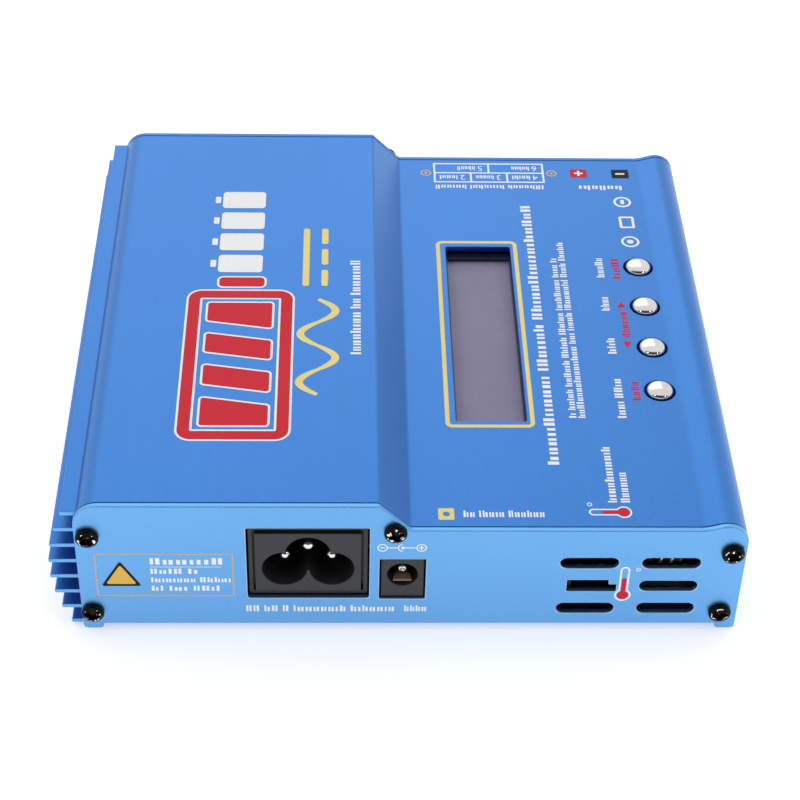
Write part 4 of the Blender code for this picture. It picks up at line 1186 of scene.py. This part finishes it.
def make_top_marks():
    top, low = ("up", HEIGHT), ("up", LOW_Z)
    for name, by, material, lift in (
        ("mark_battery_edge", 0.5, WHITE_INK, 0.0),
        ("mark_battery", 0.0, RED_INK, 0.02),
    ):
        marks(name, moved(battery_mark(55.4, 23.4, 2.6, by), (-22.8, -47.2), 90), top, material, lift)
    cells = []
    for number in range(4):
        x = number * 8.4
        cells.append(rectangle((x, x + 6.6), (0, 10.2), 0.9))
        cells.append(rectangle((x + 2.0, x + 4.6), (10.7, 12.0), 0.3))
    marks("mark_cells", moved(cells, (-30.0, 10.2), 90), top, WHITE_INK)
    wave = moved([wave_stroke(33, 3.9, 2, 1.7)], (0, 5))
    direct = [rectangle((38, 60), (7.2, 8.7), 0.5)]
    direct += [rectangle((38 + 8 * n, 38 + 8 * n + 6), (2.9, 4.4), 0.5) for n in range(3)]
    marks("mark_supply_signs", moved(wave + direct, (-12.0, -32.8), 90), top, YELLOW_INK)
    small = word_rows(90, ((8, 2, 7), 33.9, 2.3, 3, (-7.5, -19.2)))
    marks("mark_line_adapter", small, top, WHITE_INK)

    outline = frame_lines((10.7, 30.07), (-35.75, 31.7), 0.95, 1.6)
    marks("mark_display_outline", outline, low, YELLOW_INK)
    white = word_rows(
        90,
        ((12, 7, 18), 93.7, 2.4, 5, (34.3, -47.5)),
        ((17, 3, 5, 9, 4, 5), 63.7, 1.6, 7, (41.2, -32.5)),
        ((2, 5, 6, 5, 6, 9, 4, 2), 57.3, 1.6, 8, (39.2, -32.5)),
        ((5,), 7.4, 1.9, 11, (50.1, 17.6)),
        ((4,), 5.0, 1.9, 12, (50.1, 5.0)),
        ((4,), 5.4, 1.9, 13, (50.1, -10.6)),
        ((4, 4), 13.0, 1.9, 14, (50.1, -32.5)),
        ((11,), 17.0, 1.9, 15, (45.4, -59.0)),
        ((6,), 9.0, 1.9, 16, (48.1, -59.0)),
    )
    white += word_rows(0, ((2, 5, 6), 16.6, 1.9, 17, (13.4, -63.4)))
    table_words = ((7, 8, 6), 26.8, 1.7, 18, (38.3, 55.2))
    white += word_rows(180, table_words, ((6,), 10.6, 1.9, 19, (57.8, 55.2)))
    white += balance_table()
    white += [*ring_mark((57.6, 31.8), 2.2, 0.55), circle((57.6, 31.8), 0.8)]
    white += frame_lines((55.7, 59.4), (37.3, 42.1), 0.65, 0.5)
    white += [*ring_mark((57.3, 48.2), 2.2, 0.6), rectangle((56.85, 57.75), (47.3, 49.1))]
    marks("mark_low_panel_white", white, low, WHITE_INK)
    ends = [(x, 60.4) for x in (9.2, 40.7)]
    eyelets = [shape for end in ends for shape in ring_mark(end, 1.35, 0.42)]
    eyelets += [circle(end, 0.45) for end in ends]
    marks("mark_table_ends", eyelets, low, ORANGE_INK)
    red = [
        *word_rows(
            90,
            ((5,), 7.6, 1.9, 21, (53.9, 17.2)),
            ((6,), 9.0, 1.9, 22, (53.9, -4.5)),
            ((4,), 6.2, 1.9, 23, (53.9, -26.6)),
        ),
        [Vector((51.9, 6.2)), Vector((53.9, 6.2)), Vector((52.9, 8.4))],
        [Vector((51.9, -6.3)), Vector((52.9, -8.5)), Vector((53.9, -6.3))],
        rectangle((45.4, 49.6), (58.7, 62.3), 0.3),
    ]
    marks("mark_low_panel_red", red, low, RED_INK)
    black = [rectangle((55.8, 60.1), (58.5, 62.2), 0.3)]
    marks("mark_negative_square", black, low, BLACK_INK)
    signs = [
        fillet([tuple(p) for p in moved([cross_outline(1.1, 0.3, 0.3)], (47.5, 60.5))[0]]),
        rectangle((56.8, 59.1), (60.05, 60.65)),
    ]
    marks("mark_polarity_signs", signs, low, WHITE_INK, 0.02)
    square = [rectangle((8.2, 11.5), (-64.2, -60.8), 0.3), circle((9.85, -62.5), 0.72)]
    marks("mark_input_square", square, low, YELLOW_INK)
    gauge, fill = gauge_shapes((46.5, -61.9), 180, 6.9, 4.6, 0.35)
    gauge += ring_mark((39.6, -59.6), 0.55, 0.2)
    marks("mark_gauge_outline", gauge, low, WHITE_INK)
    marks("mark_gauge_fill", fill, low, RED_INK)


def balance_table():
    x, y, line = (11.1, 38.8), (56.25, 64.7), 0.5
    middle = (y[0] + y[1]) / 2
    shapes = [rectangle(x, y)]
    for row, cells in (((middle, y[1] - line / 2), (5, 6)), ((y[0] + line / 2, middle), (2, 3, 4))):
        step = (x[1] - x[0] - line) / len(cells)
        for number, cell in enumerate(cells):
            start = x[0] + line / 2 + number * step
            box = (start + line / 2, start + step - line / 2)
            shapes.append(rectangle(box, (row[0] + line / 2, row[1] - line / 2)))
            shapes += moved(numeral(cell, 2.1), (box[1] - 1.1, row[1] - 1.0), 180)
            shapes += word_rows(180, ((5,), 4.4, 1.7, 30 + cell, (box[1] - 3.1, row[1] - 1.1)))
    return shapes


def make_front_marks():
    face = ("front", FRONT)
    label = frame_lines((-62.4, -33.9), (10.3, 22.8), 0.3, 0.4)
    marks("mark_notice_frame", label, face, ORANGE_INK)
    lines = word_rows(
        0,
        ((7,), 14.8, 1.9, 41, (-51.0, 19.6)),
        ((4, 2), 9.6, 1.5, 42, (-51.0, 16.9)),
        ((8, 5), 16.4, 1.5, 43, (-51.0, 14.4)),
        ((2, 3, 4), 14.0, 1.5, 44, (-51.0, 11.9)),
        ((2, 2, 1, 8, 7), 31.0, 1.8, 45, (-31.6, 5.7)),
        ((4,), 4.6, 1.8, 46, (1.6, 5.7)),
    )
    height, radius, stroke = 24.5, 1.1, 0.26
    bar = (height - stroke / 2, height + stroke / 2)
    lines += ring_mark((-3.2, height), radius, stroke) + ring_mark((4.8, height), radius, stroke)
    lines += [rectangle((-3.75, -2.65), bar)]
    lines += moved([cross_outline(0.55, 0.13, 0.13)], (4.8, height))
    lines += [half_ring((1.0, height), radius, stroke), circle((1.0, height), 0.4)]
    lines += [rectangle((-2.05, -0.15), bar), rectangle((1.45, 3.65), bar)]
    lines += [rectangle((-51.0, -36.4), (18.85, 19.0))]
    gauge, fill = gauge_shapes((47.3, 10.6), 90, 8.0, 5.2, 0.4)
    lines += gauge + ring_mark((50.0, 18.2), 0.5, 0.2)
    marks("mark_front_white", lines, face, WHITE_INK)
    marks("mark_front_gauge", fill, face, RED_INK)
    marks("mark_notice_sign", [triangle(0.0)], face, AMBER_INK)
    marks("mark_notice_edge", [triangle(0.0), triangle(0.6)[::-1]], face, BLACK_INK, 0.02)


def triangle(inset):
    """The notice's sign: a rounded triangle, moved inwards by inset."""
    x, z = -57.2, 15.75
    reach = 4.85 - 1.9 * inset
    corners = [math.radians(turn) for turn in (210, 330, 90)]
    return fillet([(x + reach * math.cos(a), z + reach * math.sin(a), 0.35) for a in corners])


make_camera()
make_studio()
make_floor()
make_cover()
make_end_plates()
make_screws()
make_feet()
make_mains_inlet()
make_jack()
make_display()
make_keys()
make_headers()
make_outputs()
make_choke()
finish_inside()
make_top_marks()
make_front_marks()
